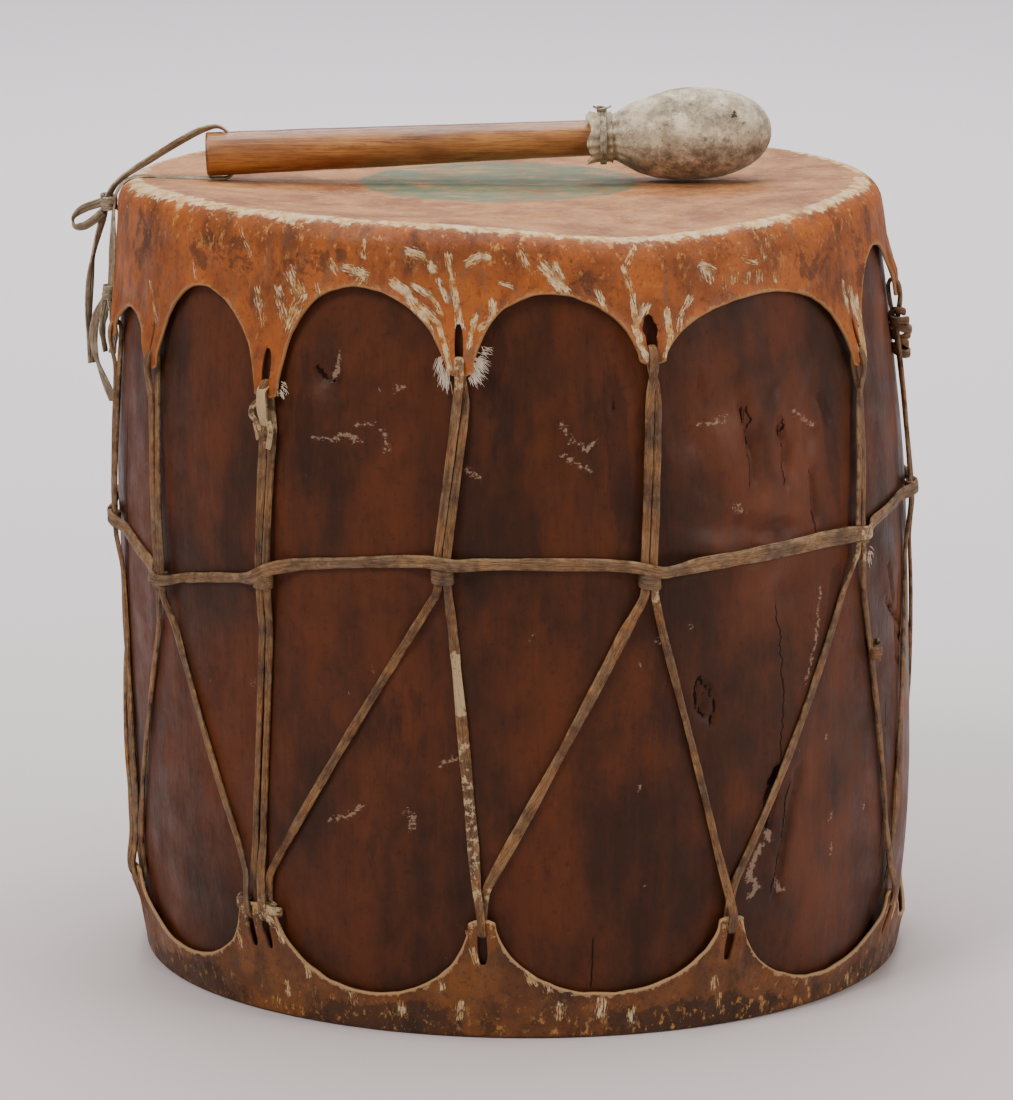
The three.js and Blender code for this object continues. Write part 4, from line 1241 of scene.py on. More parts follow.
@dataclass
class HollowLog:
    """The log, with the dents, knots and tool marks of its painted side; their depths are in mm."""

    finish: Finish
    front_columns: int = 330
    back_columns: int = 150
    rows: int = 184
    end_gap: float = 3.4 * MM
    upper_gap: float = 8.4 * MM
    upper_round: float = 8 * MM
    lower_round: float = 2.5 * MM
    front_half: float = 95
    dent_depth: float = 2.1
    knot_height: float = 1.1
    knot_hole: float = 1.6
    pit_depth: float = 3.6
    most_proud: float = 0.25
    hewn: Mark = Mark(38, 300, 170, 96)
    dents: tuple[Mark | Stroke, ...] = (
        Mark(-26.2, 349, 30, 26, 0, 1.6),
        Mark(26.3, 324, 40, 30, 10, 0.9),
        Mark(33, 332, 36, 26, -15, 1.4),
        Mark(43, 312, 60, 18, 8, 1.3),
        Mark(36.5, 300, 44, 22, 0, 1.2),
        Mark(48, 318, 50, 14, 12, 1.1),
        Mark(30, 268, 16, 40, 5, 1.0),
        Mark(40, 262, 12, 34, 0, 1.2),
        Mark(23.5, 250, 14, 46, 0, 0.8),
        Mark(41, 230, 20, 30, 0, 0.9),
        Mark(-13, 213, 30, 20, 0, 0.7),
        Stroke(((35.5, 328), (36.3, 310), (36.7, 290)), 4, 1.0),
        Stroke(((41.7, 318), (43.2, 302), (42.0, 284)), 4, 0.9),
        Stroke(((47.4, 289), (47.5, 263)), 3, 0.9),
        # How soiled and painted with shade each point is, and how much it lies in the small torn hole, which
        # is painted black for the hole's shadowed inside.
        Stroke(((28.3, 344), (28.7, 331)), 3, 0.7),
        Stroke(((50.6, 327), (51.9, 313)), 4, 0.9),
        # The underside is painted darker, as dirt and as painted shade.
        Stroke(((42.6, 132), (39.8, 92), (38.4, 64)), 4, 0.9),
        Stroke(((68.4, 224), (70.0, 206)), 3, 0.7),
        Stroke(((74.0, 214), (72.6, 194)), 3, 0.6),
        Stroke(((70.6, 196), (71.8, 176)), 3, 0.7),
        Mark(170, 250, 60, 40, 0, 1.2),
        # The small torn hole, painted black as its dark, shaded inside.
        Mark(-130, 180, 80, 24, 0, 1.2),
        Mark(120, 120, 40, 30, 0, 1.2),
    )
    knots: tuple[Mark, ...] = (
        Mark(26.3, 176, 26, 13, -12, 0.8),
        Mark(-26.0, 349, 24, 22, 0, 0.6),
        Mark(142, 300, 26, 16, 0, 1.0),
        Mark(-158, 120, 22, 14, 0, 1.0),
    )
    # Pits are carved and also painted near-black as painted shade; the thin stroke near bearing 40 degrees
    # beside the strand also stands for that strand's shadow.
    pits: tuple[Mark | Stroke, ...] = (
        Stroke(((38.6, 134), (37.3, 125), (36.6, 116), (36.6, 106)), 4.6, 0.85),
        Mark(37.2, 122, 20, 8, 8, 0.85),
        Mark(36.4, 107, 9, 7, -20, 0.75),
        Stroke(((66.7, 207), (69.7, 198), (74.0, 190), (72.6, 184), (75.6, 176)), 1.5, 0.6),
        Stroke(((71.0, 174), (72.6, 168)), 1.4, 0.55),
        Stroke(((41.4, 120), (39.6, 98), (38.6, 76)), 1.4, 0.5),
        Stroke(((26.0, 188.5), (27.7, 181), (28.3, 173.3), (27.6, 165.1)), 1.7, 0.8),
        Stroke(((25.6, 187), (25.1, 181.5), (25.4, 174.5), (26.6, 167.5)), 1.5, 0.68),
        Mark(26.6, 177, 13, 3.2, -8, 0.6),
        Stroke(((-28.4, 350), (-26.6, 344), (-25.2, 344)), 1.6, 0.62),
        Stroke(((35.6, 326), (36.4, 304)), 1.2, 0.5),
        Stroke(((42.4, 316), (43.2, 296)), 1.2, 0.5),
        Stroke(((47.4, 286), (47.5, 266)), 1.2, 0.5),
        Stroke(((14.8, 338), (15.0, 331)), 1.4, 0.5),
        Mark(-139, 260, 26, 5, 5, 0.9),
    )
    dark_patches: tuple[Mark | Stroke, ...] = (
        Mark(-54, 330, 140, 14, 0, 0.7),
        Mark(-30, 330, 110, 18, 0, 0.62),
        Mark(-1, 330, 130, 24, 0, 0.7),
        Mark(15, 320, 130, 18, 0, 0.7),
        Mark(52, 320, 120, 18, 0, 0.7),
        Mark(38, 344, 50, 50, 0, 0.6),
        Mark(-20, 120, 100, 30, 5, 0.55),
        Mark(3, 120, 150, 24, 0, 0.5),
        # Painted shadow: a dark band along the right side of the strand that runs down and to the left from
        # near bearing 52 degrees, standing for the strand's shadow on the wood over a real dark band; the
        # next stroke and mark carry it lower.
        Stroke(((51.6, 232), (49.0, 197), (45.4, 167), (42.9, 137), (41.0, 116), (38.8, 91)), 9, 0.95),
        Stroke(((42.8, 132), (40.4, 100), (38.4, 66)), 6, 0.8),
        Mark(38.0, 112, 60, 18, 8, 0.7),
        Mark(-18, 170, 90, 40, 20, 0.55),
        Mark(20, 180, 60, 30, -10, 0.5),
        Mark(-64, 250, 240, 18, 0, 0.55),
        Mark(96, 200, 260, 30, 0, 0.6),
        Mark(160, 240, 240, 34, 0, 0.6),
        Mark(-128, 220, 260, 30, 0, 0.6),
        Mark(-166, 200, 200, 26, 0, 0.6),
    )
    scratches: tuple[Mark | Stroke, ...] = (
        Stroke(((-28.4, 314), (-25.6, 314)), 2.4, 0.66),
        Stroke(((-24.8, 315), (-22.8, 317), (-21.0, 314)), 2.6, 0.7),
        Stroke(((-21.5, 323), (-19.1, 324)), 2.4, 0.66),
        Stroke(((-17.6, 321), (-16.9, 309)), 2.6, 0.62),
        Stroke(((-15.7, 342), (-14.6, 343)), 2.4, 0.66),
        Stroke(((7.4, 325), (8.2, 321)), 3.2, 0.7),
        Stroke(((8.4, 318), (10.8, 312), (12.2, 317)), 1.8, 0.66),
        Stroke(((7.3, 310), (11.1, 301)), 2.4, 0.62),
        Stroke(((-16.1, 122), (-15.1, 119), (-15.3, 112)), 2.6, 0.72),
        Stroke(((-27.5, 113), (-24.3, 117), (-22.7, 122)), 2.2, 0.7),
        Stroke(((-11.0, 147), (-8.8, 151)), 2.4, 0.62),
        Stroke(((-5.8, 302), (-4.3, 298)), 2.6, 0.72),
        Stroke(((-24.4, 358), (-24.6, 350), (-25.6, 344)), 2.0, 0.8),
        Stroke(((36.5, 102), (36.9, 97)), 3.4, 0.95),
        Stroke(((35.4, 95), (34.1, 87), (33.2, 78)), 3.2, 1.0),
        Stroke(((33.8, 79), (35.2, 73), (33.4, 68)), 3.0, 0.9),
        Stroke(((38.5, 74), (39.4, 68)), 2.8, 0.85),
        Stroke(((48.0, 228), (46.6, 199), (44.3, 179)), 1.8, 0.66),
        Stroke(((27.8, 321), (32.7, 322)), 2.2, 0.6),
        Stroke(((45, 320), (49, 312)), 2.2, 0.62),
        Mark(57.9, 100.5, 6, 2.6, 10, 0.8),
        Mark(49.2, 101.7, 8, 2.8, 10, 0.8),
        Mark(59.0, 89.2, 5, 2.4, 0, 0.75),
        Mark(65.8, 137.1, 5, 2.6, 0, 0.8),
        Mark(48.4, 145.7, 7, 3.0, 30, 0.7),
        Mark(17.4, 82.1, 3, 3.4, 0, 0.8),
        Mark(24.7, 216, 6, 2.4, 10, 0.75),
        Mark(2.0, 214, 6, 5, 0, 0.6),
        Mark(5.6, 151, 6, 3, 0, 0.6),
        Mark(20.2, 211, 5, 7, 30, 0.6),
        Mark(16.7, 134, 8, 3, 10, 0.66),
        Mark(49.5, 84, 8, 4, 0, 0.7),
        Mark(33.3, 275, 5, 12, 30, 0.6),
        Mark(-40, 180, 10, 3, 0, 0.6),
        Mark(150, 200, 40, 3, 10, 0.7),
        Mark(-150, 300, 30, 3, -15, 0.7),
    )
    # Patches of painted sheen, where light glances off the paint.
    painted_sheen_patches: tuple[Mark, ...] = (
        Mark(40, 300, 150, 76, 0, 1.0),
        Mark(37, 250, 80, 90, 0, 0.9),
        Mark(76, 300, 240, 60, 0, 1.4),
        Mark(80, 150, 220, 70, 0, 1.3),
        Mark(26.7, 177, 36, 20, 0, 0.5),
        Mark(48, 110, 170, 74, 0, 0.8),
        Mark(-80, 220, 380, 30, 0, 0.5),
    )

    def relief(self, bearing: Array, z: Array) -> Array:
        """Returns how far the surface stands in or out of the plain form, in metres."""
        plain = FORM.beside(bearing, z, 0.0)
        upright = plain * np.array([1, 1, 0.12])
        depth = 0.35 * value_noise(plain, 0.055, 1) + 0.22 * value_noise(upright, 0.012, 2)
        depth += 0.12 * value_noise(upright, 0.005, 3) - 0.2
        tall = plain * np.array([1, 1, 0.6])
        flats = 1.5 * value_noise(tall, 0.018, 4) + 0.8 * value_noise(plain, 0.008, 5) - 1.0
        depth += painted((self.hewn,), bearing, z) * flats
        for dent in self.dents:
            depth -= self.dent_depth * dent.cover(bearing, z)
        for knot in self.knots:
            body = knot.cover(bearing, z)
            rings = np.sin(np.clip(body, 0, 1) * 2.4 * math.pi)
            depth += knot.strength * self.knot_height * rings * smooth(body * 2)
            depth -= self.knot_hole * smooth(body * 3 - 2)
        depth -= self.pit_depth * painted(self.pits, bearing, z) * (1 + 0.5 * value_noise(plain, 0.003, 6))
        return np.minimum(depth, self.most_proud) * MM

    def build(self) -> Piece:
        """Returns the log, in the place of its CAD solid."""
        low = self.end_gap
        high = FORM.height - self.upper_gap
        z = np.linspace(low, high, self.rows)[:, None]
        half = self.front_half
        front = np.radians(np.linspace(-half, half, self.front_columns, endpoint=False))
        back = np.radians(np.linspace(half, 360 - half, self.back_columns, endpoint=False))
        bearing = np.concatenate([front, back])[None, :]
        bearing, z = np.broadcast_arrays(bearing, z)
        inset = np.zeros_like(z)
        for size, gap in ((self.upper_round, high - z), (self.lower_round, z - low)):
            near = np.clip(1 - gap / size, 0, 1)
            inset = inset + size * (1 - np.sqrt(1 - near**2))
        bearing = from_front(bearing)
        outside = FORM.beside(bearing, z, self.relief(bearing, z) - inset)
        inner_z = np.linspace(high, low, 3)[:, None] + 0 * bearing[:1]
        across = bearing[:1] + 0 * inner_z
        hollow = FORM.belly - FORM.wall
        inside = np.stack(
            [FORM.middle(inner_z) + hollow * np.sin(across), -hollow * np.cos(across), inner_z], axis=-1
        )
        mesh = MeshBuilder()
        spare = np.zeros(across.shape)
        values = {
            "stain": painted(self.dark_patches, bearing, z),
            "scratch": painted(self.scratches, bearing, z),
            "bloom": painted(self.painted_sheen_patches, bearing, z),
            "pit": painted(self.pits, bearing, z),
        }
        whole = {name: np.concatenate([value, spare]) for name, value in values.items()}
        mesh.grid(np.concatenate([outside, inside]), close_rows=True, **whole)
        return settle(mesh.build("log", self.finish), Slot.PAINTED_WOOD, "log_shell")


# The rawhide skins


@dataclass(frozen=True)
class Tab:
    """A tab of a skin.

    Attributes:
        bearing: Bearing of its middle from the front, in degrees.
        tip: Depth of its tip below the drum's end.
        arch: Depth of the top of the arch after it.
        visits: How many slits it has, one for each visit of the lace.
        gape: How wide its slits stand open, as a share of the usual width.
    """

    bearing: float
    tip: float
    arch: float
    visits: int = 1
    gape: float = 1.0


UPPER_TAB_DEPTH = 78 * MM
LOWER_TAB_DEPTH = 60 * MM

UPPER_TABS = tuple(
    Tab(bearing, tip * UPPER_TAB_DEPTH, arch * UPPER_TAB_DEPTH, 1, gape)
    for bearing, tip, arch, gape in (
        (-78, 1, 0.731, 0.5), (-60.3, 1.08, 0.474, 0.36), (-35.2, 1.13, 0.378, 1.05),
        (-6.2, 0.897, 0.372, 0.85), (20.6, 0.846, 0.449, 1.5), (59.5, 1.06, 0.333, 0.6),
        (82, 0.744, 0.385, 0.7), (115.3, 0.923, 0.397, 1.0), (148.7, 0.974, 0.385, 0.8),
        (182, 0.897, 0.41, 1.1), (215.3, 0.949, 0.385, 0.7), (248.7, 0.974, 0.462, 0.9),
    )
)

LOWER_TABS = tuple(
    Tab(bearing, tip * LOWER_TAB_DEPTH, arch * LOWER_TAB_DEPTH, visits)
    for bearing, tip, arch, visits in (
        (-76, 0.9, 0.35, 2), (-40, 1.033, 0.35, 2), (-5.6, 1.1, 0.4, 1), (29.8, 1.017, 0.283, 1),
        (66.7, 0.8, 0.333, 1), (103.1, 0.967, 0.367, 1), (139.3, 1.033, 0.333, 1),
        (175.5, 0.95, 0.367, 1), (211.7, 1, 0.35, 1), (247.9, 0.967, 0.367, 1),
    )
)

SLIT_PITCH = 10.4 * MM
SKIN_GAP = 0.9 * MM
SKIN_THICKNESS = 2.5 * MM
SKIN_OUT = SKIN_GAP + SKIN_THICKNESS
TAB_LIFT = 2.8 * MM
BRIDGE = 6 * MM


def slit_offsets(tab: Tab) -> tuple[float, ...]:
    """Returns how far along from the tab's middle each of its slits lies."""
    return (0.0,) if tab.visits == 1 else (-SLIT_PITCH / 2, SLIT_PITCH / 2)


@dataclass
class Columns:
    """The columns of a skin's surface, one value each."""

    bearing: list[float] = field(default_factory=list)
    edge: list[float] = field(default_factory=list)
    tip: list[float] = field(default_factory=list)
    along: list[float] = field(default_factory=list)
    tipness: list[float] = field(default_factory=list)
    tab: list[int] = field(default_factory=list)
    slit_after: list[bool] = field(default_factory=list)

    def add(
        self,
        bearing: float,
        edge: float,
        tip: float,
        along: float,
        tipness: float,
        tab: int,
        slit: bool = False,
    ) -> None:
        """Adds a column.

        Args:
            bearing: Its bearing, in radians.
            edge: Depth of the skin's edge there.
            tip: Depth of the nearest tab's tip.
            along: How far it is from the middle of its tab.
            tipness: How much of a tab's tip it is, from 0 to 1.
            tab: Number of its tab.
            slit: Whether a slit follows it.
        """
        self.bearing.append(bearing)
        self.edge.append(edge)
        self.tip.append(tip)
        self.along.append(along)
        self.tipness.append(tipness)
        self.tab.append(tab)
        self.slit_after.append(slit)


@dataclass
class RawhideSkin:
    """A skin drawn over one end of the log, cut in tabs with round arches between them."""

    name: str
    node: str
    end: End
    tabs: tuple[Tab, ...]
    finish: Finish
    slot: Slot
    scuffs: tuple[Stroke, ...] = ()
    dark_patches: tuple[Mark, ...] = ()
    rim_wear: tuple[tuple[float, float], ...] = ((-180, 0.4), (180, 0.4))
    rim_rise: tuple[tuple[float, float], ...] = ((-180, 0), (180, 0))
    corner: float = 11.4 * MM
    lift_run: float = 26 * MM
    slit_length: float = 20 * MM
    slit_width: float = 5.2 * MM
    tab_side: float = 4 * MM
    front_columns: int = 68
    back_columns: int = 28
    tip_wear: float = 0.0
    head_rows: int = 12
    corner_rows: int = 8
    side_rows: int = 42
    dish: float = 1.2 * MM
    rise_fade: float = 60 * MM
    edge_roll: float = 7 * MM
    slit_pull: float = 4.2 * MM
    tip_run: float = 9 * MM
    flake_start: float = 4 * MM
    flake_run: float = 26 * MM
    shell: float = 0.66 * SKIN_THICKNESS

    def tip_half(self, tab: Tab) -> float:
        """Returns half the width of a tab's tip."""
        return self.slit_width / 2 + (tab.visits - 1) * SLIT_PITCH / 2 + self.tab_side

    def tip_places(self, tab: Tab) -> list[tuple[float, bool]]:
        """Returns the columns over a tab's tip: how far along, and whether a slit follows."""
        half = self.tip_half(tab)
        hair = 0.03 * MM
        places = [(-half, False), (-half * 0.86, False), (half * 0.86, False), (half, False)]
        for offset in slit_offsets(tab):
            places += [(offset - hair, True), (offset + hair, False)]
            places += [(offset + side * reach * MM, False) for side in (-1, 1) for reach in (1.3, 2.9)]
        return sorted(places)

    def lay_columns(self) -> dict[str, Array]:
        """Returns the columns round the skin as arrays."""
        made = Columns()
        for number, tab in enumerate(self.tabs):
            after = self.tabs[(number + 1) % len(self.tabs)]
            middle = math.radians(tab.bearing)
            half = self.tip_half(tab)
            for along, slit in self.tip_places(tab):
                soft = 1.6 * MM * abs(along / half) ** 3
                made.add(middle + along / FORM.belly, tab.tip - soft, tab.tip, along, 1.0, number, slit)
            start = middle + half / FORM.belly
            stop = math.radians(after.bearing) - self.tip_half(after) / FORM.belly
            if stop < start:
                stop += 2 * math.pi
            middle_of_arch = (math.degrees(start + stop) / 2 + 180) % 360 - 180
            steps = self.front_columns if abs(middle_of_arch) < 92 else self.back_columns
            for step in range(1, steps):
                across = -math.cos(math.pi * step / steps)
                share = (across + 1) / 2
                tip = tab.tip + (after.tip - tab.tip) * share
                low = 1.6 * MM * math.exp(-(1 - abs(across)) / 0.012)
                edge = tip - (tip - tab.arch) * math.sqrt(1 - across**2) - low
                bearing = start + (stop - start) * share
                near = number if share < 0.5 else (number + 1) % len(self.tabs)
                gap = share if share < 0.5 else share - 1
                along = gap * (stop - start) * FORM.belly + math.copysign(half, gap)
                made.add(bearing, edge, tip, along, max(0.0, 1 - (1 - abs(across)) / 0.1), near)
        return {key: np.array(values) for key, values in vars(made).items()}

    def slit_share(self, columns: dict[str, Array], depth: Array) -> Array:
        """Returns how far up its slit, from 0 to 1, each place lies; outside that range there is no slit."""
        return (columns["tip"] - BRIDGE - depth) / self.slit_length

    def height_at(self, depth: Array) -> Array:
        """Returns the height at a depth from this end."""
        return FORM.height - depth if self.end is End.UPPER else depth

    def rise(self, bearing: Array) -> Array:
        """Returns how far the rim stands above its flat circle at a bearing."""
        known = np.array(self.rim_rise, float)
        turned = (np.degrees(bearing) + 180) % 360 - 180
        spots = np.linspace(-180, 180, 361)
        plain = np.interp(spots, known[:, 0], known[:, 1])
        kernel = np.hanning(19) / np.hanning(19).sum()
        eased = np.convolve(np.concatenate([plain[-10:-1], plain, plain[1:10]]), kernel, mode="valid")
        return np.interp(turned, spots, eased) * MM

    def side_relief(self, columns: dict[str, Array], depth: Array, plain: Array) -> Array:
        """Returns how far the skin's side stands out of its plain form."""
        tall = plain * np.array([1, 1, 0.6])
        relief = 0.45 * value_noise(tall, 0.022, 11) + 0.2 * value_noise(plain, 0.008, 12)
        to_edge = np.clip((columns["edge"][None, :] - depth) / self.edge_roll, 0, 1)
        relief += (1 - columns["tipness"][None, :]) * 1.1 * (1 - to_edge) ** 2
        above = (columns["tip"][None, :] - BRIDGE - depth) / MM
        spread = np.abs(np.abs(columns["along"][None, :]) / MM - 3.4 - 0.16 * np.clip(above, 0, 60))
        pull = np.exp(-((spread / 2.2) ** 2)) * smooth(above / 10) * smooth((52 - above) / 40)
        return (relief + 0.75 * pull) * MM

    def head_shares(self) -> Array:
        """Returns how far out each row of the head lies, from 0 at the middle towards 1."""
        return 1 - (1 - np.linspace(0, 1, self.head_rows, endpoint=False)[:, None]) ** 2.2

    def head_reach(self, bearing: Array) -> Array:
        """Returns how far the flat head reaches from the middle at a bearing."""
        return FORM.radius(bearing, self.height_at(0.0)) + SKIN_OUT - self.corner

    def lay_head(self, bearing: Array) -> Array:
        """Returns the points of the head, in rows from the middle outwards."""
        upper = self.end is End.UPPER
        share = self.head_shares()
        across = self.head_reach(bearing) * share
        swell = smooth((share - 0.6) / 0.4) * self.rise(bearing) - self.dish * (1 - share**2) * upper
        x = across * np.sin(bearing)
        y = across * np.cos(bearing)
        relief = 0.25 * MM * value_noise(np.stack(np.broadcast_arrays(x, y, 0 * across), -1), 0.03, 21)
        z = self.height_at(0.0) + swell + relief * upper
        return np.stack(np.broadcast_arrays(FORM.middle(self.height_at(0.0)) + x, -y, z), -1)

    def lay_corner(self, bearing: Array, depth: Array, turn: Array) -> Array:
        """Returns the points of the rounded corner, at depths below this end and turns from the head."""
        out = SKIN_OUT - self.corner * (1 - np.sin(turn))
        points = FORM.beside(bearing + 0 * depth, self.height_at(depth), out)
        points[..., 2] += self.rise(bearing) * smooth(1 - depth / self.rise_fade)
        return points

    def gaping(self, columns: dict[str, Array], depth: Array) -> Array:
        """Returns how far the open slits push each place of the side along the circle."""
        up_slit = self.slit_share(columns, depth)
        from_middle = np.abs(2 * np.clip(up_slit, 0, 1) - 0.9) / 1.1
        gape = self.slit_width / 2 * np.sqrt(np.clip(1 - from_middle**2.6, 0, 1))
        bearing = columns["bearing"][None, :]
        spots = np.stack(np.broadcast_arrays(depth, bearing * FORM.belly, 0 * bearing), -1)
        torn = 1 + 0.3 * value_noise(spots, 0.004, 17)
        shift = np.zeros_like(depth)
        for number, tab in enumerate(self.tabs):
            for offset in slit_offsets(tab):
                away = columns["along"] - offset
                here = (columns["tab"] == number) * np.sign(away) * np.exp(-np.abs(away) / self.slit_pull)
                shift += here[None, :] * gape * tab.gape * (torn if tab.gape > 1.2 else 1.0)
        return shift

    def lay_side(self, columns: dict[str, Array], depth: Array, steps: Array) -> Array:
        """Returns the points of the side.

        Args:
            columns: The skin's columns.
            depth: Depth of each point below this end.
            steps: How far down the side each row lies, up to 1 at the cut edge.

        Returns:
            The points, in rows from the corner to the cut edge.
        """
        bearing = columns["bearing"][None, :]
        from_bar = np.clip((columns["tip"][None, :] - depth - BRIDGE) / (self.lift_run - BRIDGE), 0, 1)
        lift = TAB_LIFT * (1 - smooth(from_bar))
        z = self.height_at(depth)
        plain = FORM.beside(bearing + 0 * z, z, SKIN_OUT)
        out = SKIN_OUT + lift + self.side_relief(columns, depth, plain) * smooth(steps * 6)
        points = FORM.beside(bearing + 0 * z, z, out, self.gaping(columns, depth))
        uneven = self.end.value * 0.5 * MM * value_noise(plain, 0.006, 14) * smooth(steps * 6 - 5)
        points[..., 2] += self.rise(bearing) * smooth(1 - depth / self.rise_fade) + uneven
        return points

    def kept_faces(self, columns: dict[str, Array], depth: Array, shape: tuple[int, ...]) -> Array:
        """Returns which faces of the skin are kept, so that its slits stand open.

        Args:
            columns: The skin's columns.
            depth: Depth of each point of the side below this end.
            shape: Rows and columns of all the skin's points.

        Returns:
            Whether each face is kept, by row and column.
        """
        up_slit = self.slit_share(columns, depth)
        keep = np.ones(shape, bool)
        first = self.head_rows + self.corner_rows
        open_row = (up_slit[:-1] > 0) & (up_slit[:-1] < 1) & (up_slit[1:] > -0.02) & (up_slit[1:] < 1)
        keep[first : first + len(open_row)] = ~(open_row & columns["slit_after"][None, :])
        return keep

    def wear(self, columns: dict[str, Array], points: Array, depth: Array) -> dict[str, Array]:
        """Returns the values that the finish reads.

        Args:
            columns: The skin's columns.
            points: All the skin's points, in rows.
            depth: Depth of each point below this end.

        Returns:
            A value of each name for each point.
        """
        bearing = columns["bearing"][None, :]
        z = points[..., 2]
        on_head = np.zeros(depth.shape)
        on_head[: self.head_rows + 1] = 1.0
        on_head[self.head_rows + 1 : self.head_rows + 3] = ((0.75,), (0.35,))
        corner_run = self.corner * math.pi / 2
        inward = (self.head_shares() - 1) * self.head_reach(bearing) / corner_run + 0 * bearing
        round_it = np.linspace(0, 1, self.corner_rows)[:, None] + 0 * bearing
        below = 1 + (depth[self.head_rows + self.corner_rows :] - self.corner) / corner_run
        along_corner = np.concatenate([inward, round_it, below])
        degrees = (np.degrees(bearing + 0 * z) + 180) % 360 - 180
        turned = np.radians(degrees)
        broad = np.interp(degrees, *zip(*self.rim_wear))
        flakes = 0.7 * value_noise(points, 0.024, 31) + 0.5 * value_noise(points, 0.007, 32)
        off_crest = (along_corner - 0.12) / (0.2 + 0.24 * broad)
        rim = np.exp(-(off_crest**2)) * np.clip(0.66 + 0.3 * broad + 0.36 * flakes, 0, 1)
        from_tip = np.maximum(columns["tip"][None, :] - depth, 0)
        at_tip = columns["tipness"][None, :] * np.exp(-from_tip / self.tip_run)
        worn_tip = self.tip_wear * at_tip * np.clip(0.8 + 0.8 * flakes, 0, 1.3)
        to_edge = np.clip((columns["edge"][None, :] - depth) / MM, 0, 60)
        down = np.clip((depth - self.flake_start) / self.flake_run, 0, 1)
        return {
            "scuff": 0.9 * painted(self.scuffs, turned, z) * (1 - on_head),
            "way": stroke_way(self.scuffs, turned, z),
            "worn": (1 - smooth(down)) * (1 - on_head) * np.clip(0.45 + broad * 0.5 + 0.6 * flakes, 0, 1),
            "stain": painted(self.dark_patches, turned, z) * (1 - on_head),
            "edge": np.maximum(np.exp(-to_edge / 1.6), worn_tip),
            "head": on_head,
            "rim": rim * (self.end is End.UPPER),
        }

    def build(self) -> Piece:
        """Returns the skin, in the place of its CAD solid."""
        columns = self.lay_columns()
        bearing = columns["bearing"][None, :]
        turn = np.radians(np.linspace(0, 90, self.corner_rows))[:, None]
        corner_depth = self.corner * (1 - np.cos(turn)) + 0 * bearing
        steps = np.linspace(0, 1, self.side_rows + 1)[1:, None]
        side_depth = self.corner + (columns["edge"][None, :] - self.corner) * steps
        head = self.lay_head(bearing)
        corner = self.lay_corner(bearing, corner_depth, turn)
        points = np.concatenate([head, corner, self.lay_side(columns, side_depth, steps)])
        depth = np.concatenate([np.zeros(head.shape[:2]), corner_depth, side_depth])
        mesh = MeshBuilder()
        keep = self.kept_faces(columns, side_depth, points.shape[:2])
        mesh.grid(points, keep=keep, **self.wear(columns, points, depth))
        made = mesh.build(self.name, self.finish)
        shell = made.modifiers.new("thickness", "SOLIDIFY")
        shell.thickness = self.shell
        shell.offset = -1
        apply_modifiers(made)
        return settle(made, self.slot, self.node)


# Lacing


@dataclass(frozen=True)
class WaistKnot:
    """A place where the band wraps a pair of strands.

    Attributes:
        bearing: Bearing from the front, in degrees.
        rise: How far it stands above the middle, as a share of the usual rise.
        arrive: Step up of the band as it arrives, as a share of the usual step.
        leave: Step up of the band as it leaves.
    """

    bearing: float
    rise: float
    arrive: float = 0.0
    leave: float = 0.0

    @property
    def angle(self) -> float:
        """The bearing in radians."""
        return math.radians(self.bearing)

    @property
    def z(self) -> float:
        """The height in metres."""
        return FORM.height / 2 + 38 * MM * self.rise


WAIST_KNOTS = tuple(
    WaistKnot(*values)
    for values in (
        (-78, 0.895, 0, 0), (-58.8, 0.368, 0, 0), (-36.4, 0.711, 0, 1), (-9.5, 1, 1, 0.714),
        (18.4, 0.895, 1, 0.429), (56.2, 1.053, 0.286, 0), (79, 1.316, 0, 0), (113.5, 1.105, 0, 0.571),
        (150.5, 0.789, 0.429, 0), (183, 0.947, 0, 0.429), (214, 1.158, 0, 0), (250, 1, 0.429, 0),
    )
)


def unwound(stations: list[tuple[float, ...]]) -> Array:
    """Returns stations as an array whose bearings run on without a jump."""
    made = np.array(stations, float)
    made[:, 0] = np.unwrap(made[:, 0])
    return made


def fine_course(stations: Array, step: float, ease: int) -> Array:
    """A closed course at even steps, with its corners eased.

    Args:
        stations: Bearing, height and distance out of each station, with any other values after them.
        step: Distance between the new stations.
        ease: How many new stations an eased corner takes.

    Returns:
        The new stations, with the same columns.
    """
    columns = stations.shape[1]
    whole_turn = np.array([2 * math.pi] + [0.0] * (columns - 1))
    closed = np.vstack([stations, stations[:1] + whole_turn])
    lengths = np.linalg.norm(np.diff(closed[:, :3] * [FORM.belly, 1, 1], axis=0), axis=1)
    total = np.concatenate([[0], np.cumsum(lengths)])
    count = int(total[-1] / step)
    spots = np.arange(count) / count * total[-1]
    even = np.stack([np.interp(spots, total, closed[:, i]) for i in range(columns)], axis=1)
    kernel = np.hanning(ease + 2)
    kernel /= kernel.sum()
    half = len(kernel) // 2
    long = np.vstack([even[-half:] - whole_turn, even, even[:half] + whole_turn])
    return np.stack([np.convolve(long[:, i], kernel, mode="valid")[:count] for i in range(columns)], axis=1)


@dataclass(frozen=True)
class Lump:
    """A strip wound round strands into a lump.

    Attributes:
        bearing: Bearing of its middle, in degrees.
        height: Height of its middle, in mm.
        half: Half sizes along the circle and outwards, in mm.
        turns: How often it goes round.
        rise: How far it climbs, in mm.
        seed: Number that sets how it strays.
        pale: How bleached it is, from 0 to 1.
    """

    bearing: float
    height: float
    half: tuple[float, float]
    turns: float
    rise: float
    seed: int
    pale: float


